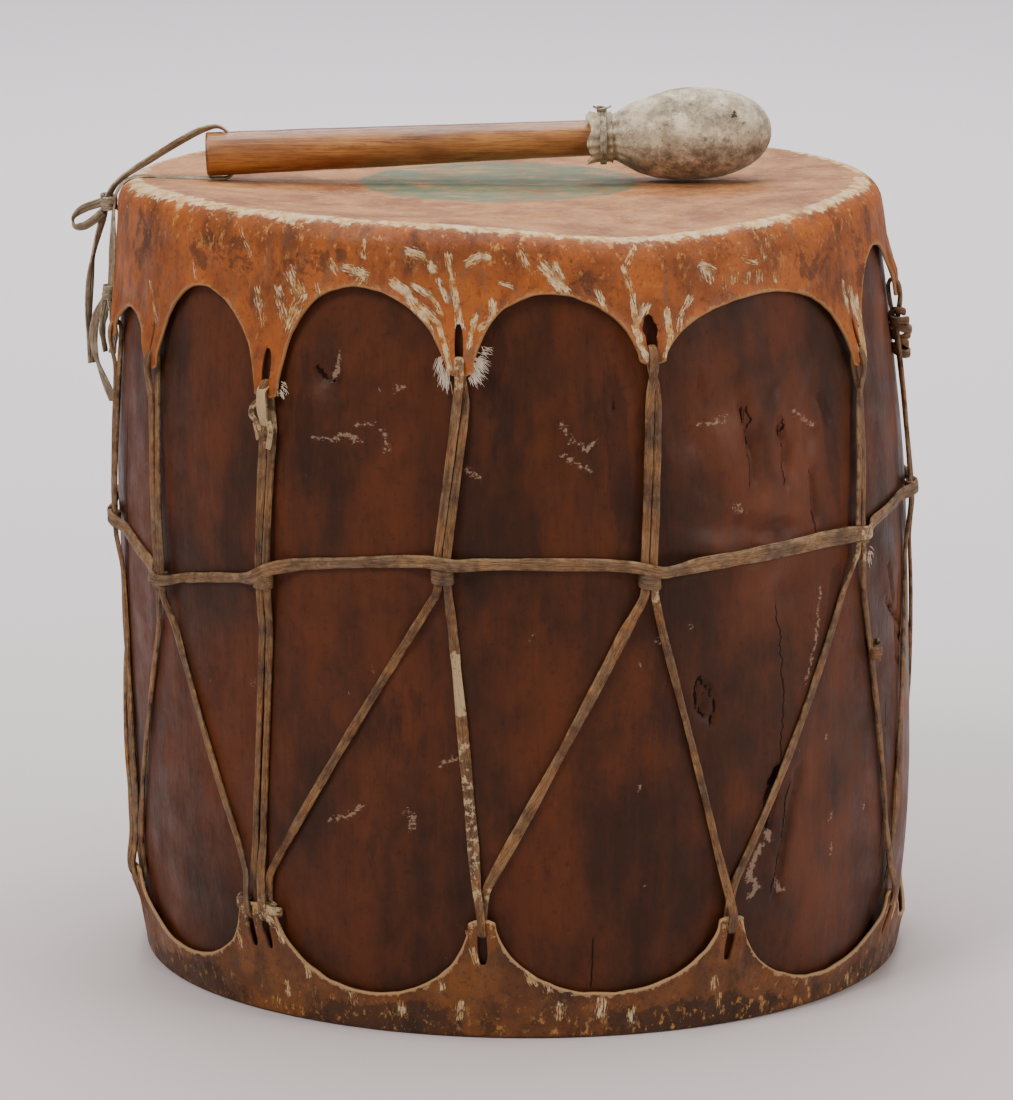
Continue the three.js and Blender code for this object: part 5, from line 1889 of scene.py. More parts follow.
@dataclass
class Lacing:
    """The lace through every tab, and the waist band wrapped round its strands."""

    lace_finish: Finish
    band_finish: Finish
    width: float = 4.5 * MM
    thickness: float = 2.3 * MM
    apart: float = 4.7 * MM
    lead: float = 16 * MM
    behind: float = 1.4 * MM
    in_front: float = 7.6 * MM
    at_knot: float = 4.5 * MM
    snug: float = 1.5 * MM
    knot_run: float = 8.5 * MM
    down_widths: tuple[float, ...] = (0.9, 0.92, 0.8, 1.2, 0.85, 0.8, 0.9, 1.0, 1.1, 0.9, 1.0, 0.9)
    up_widths: tuple[float, ...] = (0.9, 0.9, 0.78, 1.0, 1.35, 0.9, 0.9, 1.0, 0.9, 1.1, 0.9, 1.0)
    bleached: tuple[Mark | Stroke, ...] = (
        Stroke(((-8.4, 200), (-7.6, 182)), 16, 0.9),
        Stroke(((-7.0, 158), (-5.4, 78)), 10, 0.42),
        Mark(57, 244, 30, 30, 0, 0.62),
        Mark(-38, 58, 22, 26, 0, 0.6),
        Mark(20, 236, 16, 20, 0, 0.6),
        Mark(-6, 352, 24, 12, 0, 0.5),
        Mark(-36, 320, 22, 16, 0, 0.9),
        Mark(46, 244, 12, 60, 0, 0.5),
    )
    lumps: tuple[Lump, ...] = (
        Lump(81.6, 350, (4.6, 4.4), 2.6, 11, 52, 0.0),
        Lump(83.2, 342, (4.4, 4.8), 1.7, 5, 56, 0.1),
        Lump(82.2, 334, (3.6, 4.0), 1.5, 7, 57, 0.2),
        Lump(60.4, 184, (3.2, 2.4), 2.2, 9, 53, 0.1),
        Lump(-42.9, 61, (4.0, 2.8), 1.7, 7, 54, 0.3),
        Lump(-37.6, 57, (4.2, 2.8), 1.8, 8, 55, 0.75),
    )
    station: float = 2.4 * MM
    band_width: float = 6.6 * MM
    band_thickness: float = 1.9 * MM
    band_step: float = 7 * MM
    wrap_width: float = 4.6 * MM

    def turn(self, tab: Tab, offset: float, end: End) -> list[tuple[float, ...]]:
        """Stations of the lace's turn over the bar of skin below a slit, front leg first.

        Args:
            tab: The tab that it passes through.
            offset: How far along from the tab's middle the slit lies.
            end: The drum's end that the tab belongs to.

        Returns:
            Bearing, height, distance out and share of the usual width of each station.
        """
        middle = math.radians(tab.bearing)
        bar = tab.tip - BRIDGE
        centre = (self.in_front + self.behind) / 2
        round_out = (self.in_front - self.behind) / 2
        side = self.apart / 2

        def place(out: float, depth: float, along: float) -> tuple[float, ...]:
            """Returns a station at a depth from this end."""
            z = FORM.height - depth if end is End.UPPER else depth
            return (middle + along / FORM.belly, z, out, 1.0)

        bottom = bar - 0.5 * MM
        bend = [
            place(centre + round_out * math.cos(angle), bottom - round_out * math.sin(angle), offset)
            for angle in (0, 0.8, 1.57, 2.34, math.pi)
        ]
        return [
            place(self.at_knot * 0.8, tab.tip + self.lead, offset - side),
            place(self.in_front, tab.tip + 1 * MM, offset),
            *bend,
            place(self.behind, tab.tip + 1 * MM, offset),
            place(self.behind * 1.6, tab.tip + self.lead, offset + side),
        ]

    def course(self) -> Array:
        """Returns the lace's whole course as stations."""
        visits = [(tab, offset) for tab in LOWER_TABS for offset in slit_offsets(tab)]
        stations: list[tuple[float, ...]] = []

        def strand(start: tuple[float, ...], stop: tuple[float, ...], width: float) -> None:
            """Adds the stations of a long strand that lies snug on the wood."""
            swing = from_front(stop[0] - start[0])
            for share in (0.12, 0.4, 0.65, 0.88):
                height = start[1] + (stop[1] - start[1]) * share
                stations.append((start[0] + swing * share, height, self.snug, width))

        for number, tab in enumerate(UPPER_TABS):
            knot = WAIST_KNOTS[number]
            after = WAIST_KNOTS[(number + 1) % len(WAIST_KNOTS)]
            beside = self.apart / 2 / FORM.belly
            lower_tab, offset = visits[(number + 1) % len(visits)]
            low_turn = self.turn(lower_tab, offset, End.LOWER)
            below = knot.z - self.knot_run
            above = knot.z + self.knot_run
            arrive = [(knot.angle - beside, z, self.at_knot, 1.0) for z in (below, above)]
            leave = [(knot.angle + beside, z, self.at_knot, 1.0) for z in (above, below)]
            next_arrive = (after.angle - beside, after.z - self.knot_run, self.at_knot, 1.0)
            stations += [*arrive, *self.turn(tab, 0.0, End.UPPER), *leave]
            strand(leave[-1], low_turn[0], self.down_widths[number])
            stations += low_turn
            strand(low_turn[-1], next_arrive, self.up_widths[(number + 1) % len(self.up_widths)])
        return unwound(stations)

    def build_lace(self) -> Piece:
        """Returns the lace with its knots and lumps."""
        line = fine_course(self.course(), self.station, 5)
        count = len(line)
        middle, outward = FORM.follow(line)
        around = np.stack([np.cos(line[:, 0]), np.sin(line[:, 0]), 0 * line[:, 0]], axis=1)
        roll = 0.3 * along_noise(count, 22, 41) + 0.15 * along_noise(count, 8, 42)
        wide = around * np.cos(roll)[:, None] + outward * np.sin(roll)[:, None]
        ripple = 1 + 0.2 * along_noise(count, 16, 43) + 0.09 * along_noise(count, 4, 44)
        width = self.width * line[:, 3] * ripple
        thickness = self.thickness * (1 + 0.2 * along_noise(count, 11, 45))
        turned = from_front(line[:, 0])
        mesh = MeshBuilder()
        pale = painted(self.bleached, turned, line[:, 1])
        mesh.sweep(middle, wide, width, thickness, closed=True, pale=pale)
        self.curl(mesh)
        for lump in self.lumps:
            self.tangle(mesh, lump)
        return settle(mesh.build("lace", self.lace_finish), Slot.LACE_HIDE, "lacing_thong")

    def curl(self, mesh: MeshBuilder) -> None:
        """Adds the pale strips of hide that hang and curl below the tab left of the front."""
        bearing = math.radians(UPPER_TABS[2].bearing)
        tip = FORM.height - UPPER_TABS[2].tip

        def strip(
            course: Sequence[tuple[float, float, float]], widths: tuple[float, float], pale: float
        ) -> None:
            """Adds one strip through places in mm: along, above the tip, and out."""
            line = catmull(course, 8)
            count = len(line)
            uneven = 1 + 0.1 * along_noise(count, 5, 91)
            width = np.linspace(widths[0], widths[1], count) * MM * uneven
            z = tip + line[:, 1] * MM
            middle = FORM.beside(np.full(count, bearing), z, line[:, 2] * MM, line[:, 0] * MM)
            wide = np.array([math.cos(bearing), math.sin(bearing), 0.0])
            mesh.sweep(middle, wide, width, 1.4 * MM, pale=pale)

        strip(
            ((-0.4, 6.5, 5.0), (-0.2, 4.0, 8.6), (0.2, -2, 9.4), (0.4, -9, 8.6), (0.6, -14, 6.4)),
            (6.2, 5.4),
            1.0,
        )
        strip(((3.4, -11.5, 7.6), (4.6, -16, 7.4), (3.6, -21, 6.8), (2.2, -26, 6.2)), (3.6, 3.0), 0.85)
        strip(
            ((-3.4, -2, 7.4), (-6.4, -4.5, 8.2), (-6.8, -9, 8.4), (-4.4, -12, 7.8), (-2.6, -17, 7.2)),
            (3.4, 3.0),
            0.5,
        )
        strip(((-5.6, -13, 7.0), (-4.8, -18, 6.6), (-4.4, -22, 6.2)), (2.8, 1.8), 0.7)
        strip(((-1.0, -14, 6.4), (-0.6, -19, 6.8), (1.2, -24, 6.0)), (3.2, 2.6), 0.3)

    def tangle(self, mesh: MeshBuilder, lump: Lump) -> None:
        """Adds a strip wound round strands into a lump."""
        turn = np.linspace(0, lump.turns * 2 * math.pi, int(lump.turns * 18))
        count = len(turn)
        share = turn / turn[-1]
        sideways, outwards = lump.half
        belly = 0.75 + 0.35 * np.sin(math.pi * share) + 0.1 * along_noise(count, 5, lump.seed)
        along = sideways * np.cos(turn) * belly * MM
        out = (outwards + 0.6 + outwards * np.sin(turn) * belly) * MM
        tilt = 0.45 * sideways * np.cos(turn) * np.sin(0.5 * turn + lump.seed)
        climb = lump.rise * (share - 0.5)
        z = (lump.height + climb + tilt + 1.2 * along_noise(count, 6, lump.seed + 9)) * MM
        middle = FORM.beside(np.full(count, math.radians(lump.bearing)), z, out, along)
        tapered = np.minimum(1, 0.4 + 7 * np.minimum(share, 1 - share))
        width = (4.2 + 0.9 * along_noise(count, 7, lump.seed + 3)) * MM * tapered
        mesh.sweep(middle, np.array([0.0, 0.0, 1.0]), width, 2.0 * MM, pale=lump.pale)

    def build_band(self) -> Piece:
        """Returns the waist band with a wrap round each pair of strands."""
        stations: list[tuple[float, ...]] = []
        hold = self.apart / 2 + self.width / 2 + 1.5 * MM
        over = self.at_knot + self.thickness / 2 + self.band_thickness / 2 + 0.7 * MM
        for number, knot in enumerate(WAIST_KNOTS):
            after = WAIST_KNOTS[(number + 1) % len(WAIST_KNOTS)]
            span = (after.angle - knot.angle) % (2 * math.pi)
            start = knot.z + self.band_step * knot.leave
            stop = after.z + self.band_step * after.arrive
            stations.append((knot.angle - hold / FORM.belly, knot.z + self.band_step * knot.arrive, over))
            stations.append((knot.angle + hold / FORM.belly, start, over))
            for share in (0.2, 0.4, 0.6, 0.8):
                crown = 1.2 * MM * math.sin(math.pi * share)
                stations.append(
                    (knot.angle + span * share, start + (stop - start) * share + crown, self.snug)
                )
        line = fine_course(unwound(stations), self.station, 6)
        count = len(line)
        middle, outward = FORM.follow(line)
        roll = 0.22 * along_noise(count, 20, 61)
        wide = np.array([0.0, 0.0, 1.0]) * np.cos(roll)[:, None] + outward * np.sin(roll)[:, None]
        stretch = np.degrees(line[:, 0]) % 360
        broad = 1 + 0.32 * smooth((stretch - 20) / 8) * smooth((56 - stretch) / 6)
        slim = 1 - 0.25 * smooth((stretch - 300) / 4) * smooth((322 - stretch) / 4)
        ripple = 1 + 0.12 * along_noise(count, 13, 62) + 0.06 * along_noise(count, 4, 63)
        width = self.band_width * broad * slim * ripple
        thickness = self.band_thickness * (1 + 0.2 * along_noise(count, 9, 64))
        turned = from_front(line[:, 0])
        pale = painted(self.bleached, turned, line[:, 1])
        mesh = MeshBuilder()
        mesh.sweep(middle, wide, width, thickness, closed=True, pale=pale)
        for number, knot in enumerate(WAIST_KNOTS):
            self.wrap(mesh, knot, number)
        return settle(mesh.build("waist_band", self.band_finish), Slot.LACE_HIDE, "waist_thong")

    def wrap(self, mesh: MeshBuilder, knot: WaistKnot, number: int) -> None:
        """Adds the band's turns round one pair of strands."""
        turns = 2.15
        turn = np.linspace(-0.4, turns * 2 * math.pi - 0.4, 46)
        share = np.linspace(0, 1, len(turn))
        half_wide = self.apart / 2 + self.width / 2 + 0.5 * MM
        half_deep = self.thickness / 2 + 1.0 * MM
        along = half_wide * np.sign(np.cos(turn)) * np.abs(np.cos(turn)) ** 0.7
        out = self.at_knot + half_deep * np.sign(np.sin(turn)) * np.abs(np.sin(turn)) ** 0.7
        z = knot.z + (-3.4 + 6.4 * share + 0.5 * np.sin(turn + number)) * MM
        middle = FORM.beside(np.full(len(turn), knot.angle), z, out, along)
        width = self.wrap_width * np.minimum(1, 0.5 + 6 * np.minimum(share, 1 - share))
        mesh.sweep(middle, np.array([0.0, 0.0, 1.0]), width, self.band_thickness)


@dataclass(frozen=True)
class Tuft:
    """Hair rooted between two places, in degrees and mm, and combed to a turn from upright."""

    start: tuple[float, float]
    stop: tuple[float, float]
    way: float
    length: float
    count: int
    straying: float = 14.0


@dataclass
class FurTufts:
    """White hair left at the edges of the hide and in one knot."""

    finish: Finish
    seed: int = 7
    blade: float = 0.2 * MM
    tufts: tuple[Tuft, ...] = (
        Tuft((-9.0, 361), (-7.9, 351), 196, 5.6, 60, 8),
        Tuft((-8.4, 354), (-7.6, 348), 186, 4.6, 36, 8),
        Tuft((-4.8, 350), (-3.4, 361), 126, 5.4, 76, 20),
        Tuft((-4.4, 356), (-2.6, 366), 95, 4.4, 34, 24),
        Tuft((-31.9, 343), (-32.6, 336), 110, 3.0, 26, 24),
        Tuft((57.2, 236), (57.8, 242), 115, 3.2, 26, 30),
    )

    def build(self) -> Piece:
        """Returns all the hair as one mesh of thin blades."""
        chance = np.random.default_rng(self.seed)
        mesh = MeshBuilder()
        step = np.linspace(0, 1, 4)
        for tuft in self.tufts:
            for _ in range(tuft.count):
                share = chance.uniform()
                bearing = tuft.start[0] + (tuft.stop[0] - tuft.start[0]) * share + chance.normal(0, 0.25)
                height = tuft.start[1] + (tuft.stop[1] - tuft.start[1]) * share + chance.normal(0, 0.8)
                turn = math.radians(tuft.way + chance.normal(0, tuft.straying))
                length = tuft.length * chance.uniform(0.5, 1.25) * MM
                along = length * step * math.sin(turn)
                z = height * MM + length * step * math.cos(turn) - 1.2 * MM * step**2
                out = 6.2 * MM + length * chance.uniform(-0.1, 0.3) * step
                line = FORM.beside(np.full(4, math.radians(bearing)), z, out, along)
                narrow = (1 - 0.8 * step)[:, None]
                side = np.array([math.cos(turn), 0.0, -math.sin(turn)]) * self.blade * narrow
                blade = np.stack([line - side, line + side], axis=1)
                mesh.grid(blade, close_columns=False, run=np.repeat(step[:, None], 2, axis=1))
        made = mesh.build("fur_tufts", self.finish)
        return settle(made, Slot.BEATER_HIDE)


# The beater


@dataclass
class Beater:
    """The stick, its stuffed hide bulb and the binding at the neck."""

    stick_finish: Finish
    bulb_finish: Finish
    binding_finish: Finish
    tail: tuple[float, float] = (-171 * MM, -2 * MM)
    tail_radius: float = 12 * MM
    neck_radius: float = 9.6 * MM
    stick_length: float = 206 * MM
    socket: float = 40 * MM
    hole_inset: float = 13 * MM
    hole_length: float = 12 * MM
    hole_width: float = 5.6 * MM
    collar_length: float = 13 * MM
    collar_radius: float = 13.6 * MM
    bulb_length: float = 86 * MM
    bulb_radius: float = 25.2 * MM
    tail_room: float = 2.2 * MM
    rest_gap: float = 0.3 * MM

    @property
    def place(self) -> Matrix:
        """Where the beater lies: its tail end, tilted up to its bulb."""
        tail_height = self.tail_radius + self.tail_room
        middle = self.stick_length + self.collar_length + self.bulb_length / 2
        tilt = math.asin((self.bulb_radius + self.rest_gap - tail_height) / middle)
        at = Vector((self.tail[0], self.tail[1], FORM.height + tail_height))
        return Matrix.Translation(at) @ Matrix.Rotation(-tilt, 4, "Y")

    def laid(self, points: Array) -> Array:
        """Returns points of the beater's own frame, laid on the drum."""
        turn = np.array(self.place.to_3x3())
        return points @ turn.T + np.array(self.place.translation)

    @staticmethod
    def turned(along: Array, radius: Array, sides: int) -> Array:
        """A round form along X.

        Args:
            along: Place of each ring.
            radius: Radius of each ring, or of each point of each ring.
            sides: Points in a ring.

        Returns:
            The points, in rings.
        """
        turn = np.arange(sides)[None, :] / sides * 2 * math.pi
        each = radius if np.ndim(radius) == 2 else np.asarray(radius)[:, None]
        radius = np.broadcast_to(each, (len(along), sides))
        x = along[:, None] + 0 * radius
        return np.stack([x, radius * np.sin(turn), radius * np.cos(turn)], axis=-1)

    def build_stick(self) -> Piece:
        """Returns the stick with the hole through its tail."""
        bevel = np.array([0, 0.02, 0.12, 0.5, 1.4]) * MM
        ease = np.array([0, 0.8, 0.94, 0.985, 1.0])
        body = np.linspace(2.5 * MM, self.stick_length + self.socket, 70)
        along = np.concatenate([bevel, body])
        share = np.clip(along / self.stick_length, 0, 1)
        radius = self.tail_radius + (self.neck_radius - self.tail_radius) * share
        radius = radius * np.concatenate([ease, np.ones(len(body))])
        turn = np.arange(48)[None, :] / 48 * 2 * math.pi
        spots = self.turned(along, np.full(len(along), 0.02), 48)
        uneven = 1 + 0.018 * value_noise(spots, 0.03, 71) + 0.008 * value_noise(spots, 0.011, 72)
        points = self.turned(along, radius[:, None] * uneven, 48)
        end = np.exp(-along / (2.2 * MM))[:, None] + 0 * turn
        mesh = MeshBuilder()
        mesh.grid(self.laid(points), end=0.75 * end)
        made = mesh.build("stick", self.stick_finish)
        cutter = self.hole_cutter()
        cut = made.modifiers.new("hole", "BOOLEAN")
        cut.operation = "DIFFERENCE"
        cut.solver = "EXACT"
        cut.object = cutter
        apply_modifiers(made)
        bpy.data.objects.remove(cutter)
        return settle(made, Slot.STICK_WOOD, "beater_stick")

    def hole_cutter(self) -> Piece:
        """Returns the upright slot that is taken out of the stick's tail."""
        half = self.hole_width / 2
        run = self.hole_length / 2 - half
        turn = np.linspace(0, 2 * math.pi, 28, endpoint=False)
        x = self.hole_inset + half * np.cos(turn) + np.where(np.cos(turn) >= 0, run, -run)
        y = half * np.sin(turn)
        levels = np.array([-30, -30, 30, 30]) * MM
        scale = np.array([0, 1, 1, 0])
        rings = [
            np.stack(
                [self.hole_inset + (x - self.hole_inset) * s, y * s, np.full(len(x), z)], axis=1
            ) for z, s in zip(levels, scale)
        ]
        mesh = MeshBuilder()
        mesh.grid(self.laid(np.stack(rings)))
        return mesh.build("hole_cutter", self.stick_finish)

    def bulb_outline(self, steps: int) -> tuple[Array, Array]:
        """Returns the places and radii of the bulb's rings, from its neck to its tip."""
        turn = np.linspace(0.0, math.pi, steps)
        neck = self.stick_length + self.collar_length
        along = neck + self.bulb_length * (1 - np.cos(turn)) / 2
        swell = np.sin(turn) ** 0.9 * self.bulb_radius
        start = (self.collar_radius + 0.3 * MM) * smooth((math.pi / 2 - turn) / 0.9)
        return along, np.sqrt(swell**2 + (start * (1 - swell / self.bulb_radius)) ** 2)

    @staticmethod
    def bulb_wear(from_neck: Array, turn: Array) -> dict[str, Array]:
        """Returns the values that the bulb's finish reads.

        Args:
            from_neck: How far past the neck each ring lies, in mm.
            turn: Angle of each point of a ring from the top, in radians.

        Returns:
            How soiled each point is, and how much it lies in the small torn hole.
        """
        underside = smooth((-np.cos(turn) + 0.25) / 0.9) * smooth((from_neck + 14) / 30)
        tip = smooth((from_neck - 58) / 26) * 0.62
        soil = np.maximum(0.95 * underside, tip) + 0 * turn
        collar_soil = 0.35 * np.exp(-((from_neck + 7) ** 2) / 30)
        soil = np.maximum(soil, collar_soil + 0 * turn)
        hole = np.exp(-(((from_neck - 66) / 2.0) ** 2) - (((turn - 5.28) * 20 / 2.0) ** 2))
        return {"soil": np.concatenate([soil, soil[-1:]]), "mark": np.concatenate([hole, hole[-1:]])}

    def build_bulb(self) -> Piece:
        """Returns the bulb with its gathered collar."""
        sides = 96
        along, radius = self.bulb_outline(72)
        neck = self.stick_length + self.collar_length
        collar = np.linspace(self.stick_length + 0.5 * MM, neck, 12, endpoint=False)
        flare = np.abs((collar - self.stick_length - 8 * MM) / (8 * MM)) ** 2
        collar_radius = self.collar_radius - 1.0 * MM + 1.7 * MM * flare
        along = np.concatenate([[collar[0] + 2 * MM, collar[0]], collar, along])
        radius = np.concatenate(
            [[self.neck_radius + 0.6 * MM, collar_radius[0] - 1.2 * MM], collar_radius, radius]
        )
        turn = np.arange(sides)[None, :] / sides * 2 * math.pi
        from_neck = (along[:, None] - neck) / MM
        gather = np.cos(15 * turn + 1.3 * np.sin(3 * turn)) * np.exp(-np.clip(from_neck, 0, 60) / 12)
        gather = gather * 0.6 * MM * smooth((radius[:, None] - self.neck_radius) / (2 * MM))
        ruffle = 1.3 * MM * np.sin(5 * turn + 0.7) * smooth(-(from_neck + 6) / 6)
        spots = self.turned(along, radius, sides)
        uneven = 1.0 * value_noise(spots, 0.024, 81) + 0.35 * value_noise(spots, 0.009, 82)
        lumps = uneven * MM * smooth(from_neck / 14)
        whole = np.maximum(radius[:, None] + (gather + lumps) * smooth(radius[:, None] / (9 * MM)), 0)
        flat = smooth((np.cos(turn + math.pi) - 0.9) / 0.1) * smooth(from_neck / 20)
        whole = np.minimum(whole, self.bulb_radius * (1.02 - 0.02 * flat))
        places = along[:, None] + ruffle
        points = np.stack([places, whole * np.sin(turn), whole * np.cos(turn)], axis=-1)
        points = np.concatenate([points, np.repeat(points[-1:].mean(axis=1, keepdims=True), sides, axis=1)])
        mesh = MeshBuilder()
        mesh.grid(self.laid(points), **self.bulb_wear(from_neck, turn))
        made = mesh.build("bulb", self.bulb_finish)
        settle(made, Slot.BEATER_HIDE, "beater_bulb")
        return made

    def build_binding(self) -> Piece:
        """Returns the thong wound round the collar, with its knot and ends."""
        mesh = MeshBuilder()
        turns = 2.2
        turn = np.linspace(0.4, turns * 2 * math.pi + 0.4, 90)
        share = np.linspace(0, 1, len(turn))
        radius = self.collar_radius + 0.5 * MM
        along = self.stick_length + (6.4 + 3.4 * share) * MM
        line = np.stack([along, radius * np.sin(turn), radius * np.cos(turn)], axis=1)
        mesh.sweep(self.laid(line), np.array([1.0, 0.0, 0.0]), 1.9 * MM, 1.4 * MM, pale=0.62)
        top = np.array([self.stick_length + 8 * MM, -3 * MM, radius + 0.8 * MM])
        for way, rise, lean in ((-1, 2.6, -4.0), (1, 2.0, 4.6)):
            share = np.linspace(0, 1, 14)
            end = np.stack(
                [
                    top[0] + lean * MM * share + way * 0.5 * MM,
                    top[1] + way * 1.4 * MM * share,
                    top[2] + rise * MM * share**0.8,
                ],
                axis=1,
            )
            mesh.sweep(
                self.laid(end),
                np.array([0.2, 1.0, 0.0]),
                2.0 * MM * (1.1 - 0.5 * share),
                1.2 * MM,
                sides=8,
                pale=0.6,
            )
        knot = np.linspace(0, 3.2 * math.pi, 26)
        ring = np.stack(
            [
                top[0] + 2.0 * MM * np.cos(knot),
                top[1] + 2.2 * MM * np.sin(knot),
                top[2] + 0.25 * MM * knot - 0.6 * MM,
            ],
            axis=1,
        )
        mesh.sweep(self.laid(ring), np.array([0.0, 0.0, 1.0]), 1.9 * MM, 1.6 * MM, sides=8)
        return settle(mesh.build("binding", self.binding_finish), Slot.STRAP_HIDE, "beater_binding")


# The studio


@dataclass
class Studio:
    """Camera, paper and lights."""

    eye: tuple[float, float, float] = (-0.0091, -3.210, 0.878)
    pitch_down: float = 11.64
    focal_pixels: float = 5989.0
    frame_height: float = 1100.0
    sensor: float = 36.0
    paper_reach: float = 9.0

    def build_camera(self) -> Piece:
        """Returns the camera at the photograph's viewing angle."""
        data = bpy.data.cameras.new("camera")
        data.sensor_width = self.sensor
        data.lens = self.focal_pixels / self.frame_height * self.sensor
        data.clip_start = 0.1
        data.clip_end = 60
        camera = bpy.data.objects.new("camera", data)
        camera.location = self.eye
        camera.rotation_euler = (math.radians(90 - self.pitch_down), 0, 0)
        bpy.context.scene.collection.objects.link(camera)
        bpy.context.scene.camera = camera
        return camera

    def build_paper(self, finish: Finish) -> Piece:
        """Returns the flat sheet under and round the drum."""
        side = np.linspace(-self.paper_reach, self.paper_reach, 9)
        rows = [np.stack([side, np.full(9, y), np.full(9, -0.0002)], axis=1) for y in side]
        mesh = MeshBuilder()
        mesh.grid(np.stack(rows), close_columns=False)
        paper = mesh.build("paper", finish)
        return paper

    @staticmethod
    def add_lamp(
        name: str,
        at: Sequence[float],
        size: float,
        power: float,
        colour: Sequence[float],
        target: Sequence[float] = (0, 0, 0.25),
    ) -> Piece:
        """Adds a soft square lamp.

        Args:
            name: Its name.
            at: Its place.
            size: Its side.
            power: Its power in watts.
            colour: Its colour.
            target: Where it points, at the drum unless another is given.

        Returns:
            The lamp.
        """
        data = bpy.data.lights.new(name, "AREA")
        data.size = size
        data.energy = power
        data.color = colour
        lamp = bpy.data.objects.new(name, data)
        lamp.location = at
        aim = Vector(target) - Vector(at)
        lamp.rotation_euler = aim.to_track_quat("-Z", "Y").to_euler()
        bpy.context.scene.collection.objects.link(lamp)
        return lamp

    def light(self) -> None:
        """Sets the lamps and the room's own light."""
        self.add_lamp("key", (-1.9, -2.1, 3.1), 1.3, 98.0, (1.0, 0.975, 0.94))
        self.add_lamp("fill", (3.0, -1.2, 1.7), 2.0, 54.0, (1.0, 0.97, 0.93))
        self.add_lamp("top", (0.1, 0.3, 3.2), 1.8, 76.0, (1.0, 0.99, 0.98))
        self.add_lamp("far paper", (0.0, 3.2, 3.4), 2.6, 210.0, (0.98, 0.98, 1.0), (0.0, 4.8, 0.0))
        world = bpy.data.worlds.new("room")
        world.use_nodes = True
        background = world.node_tree.nodes["Background"]
        background.inputs["Color"].default_value = (0.88, 0.87, 0.9, 1)
        background.inputs["Strength"].default_value = 0.33
        bpy.context.scene.world = world


# The marks on the skins, the wear and rise of the rim by bearing, and the hides' colours

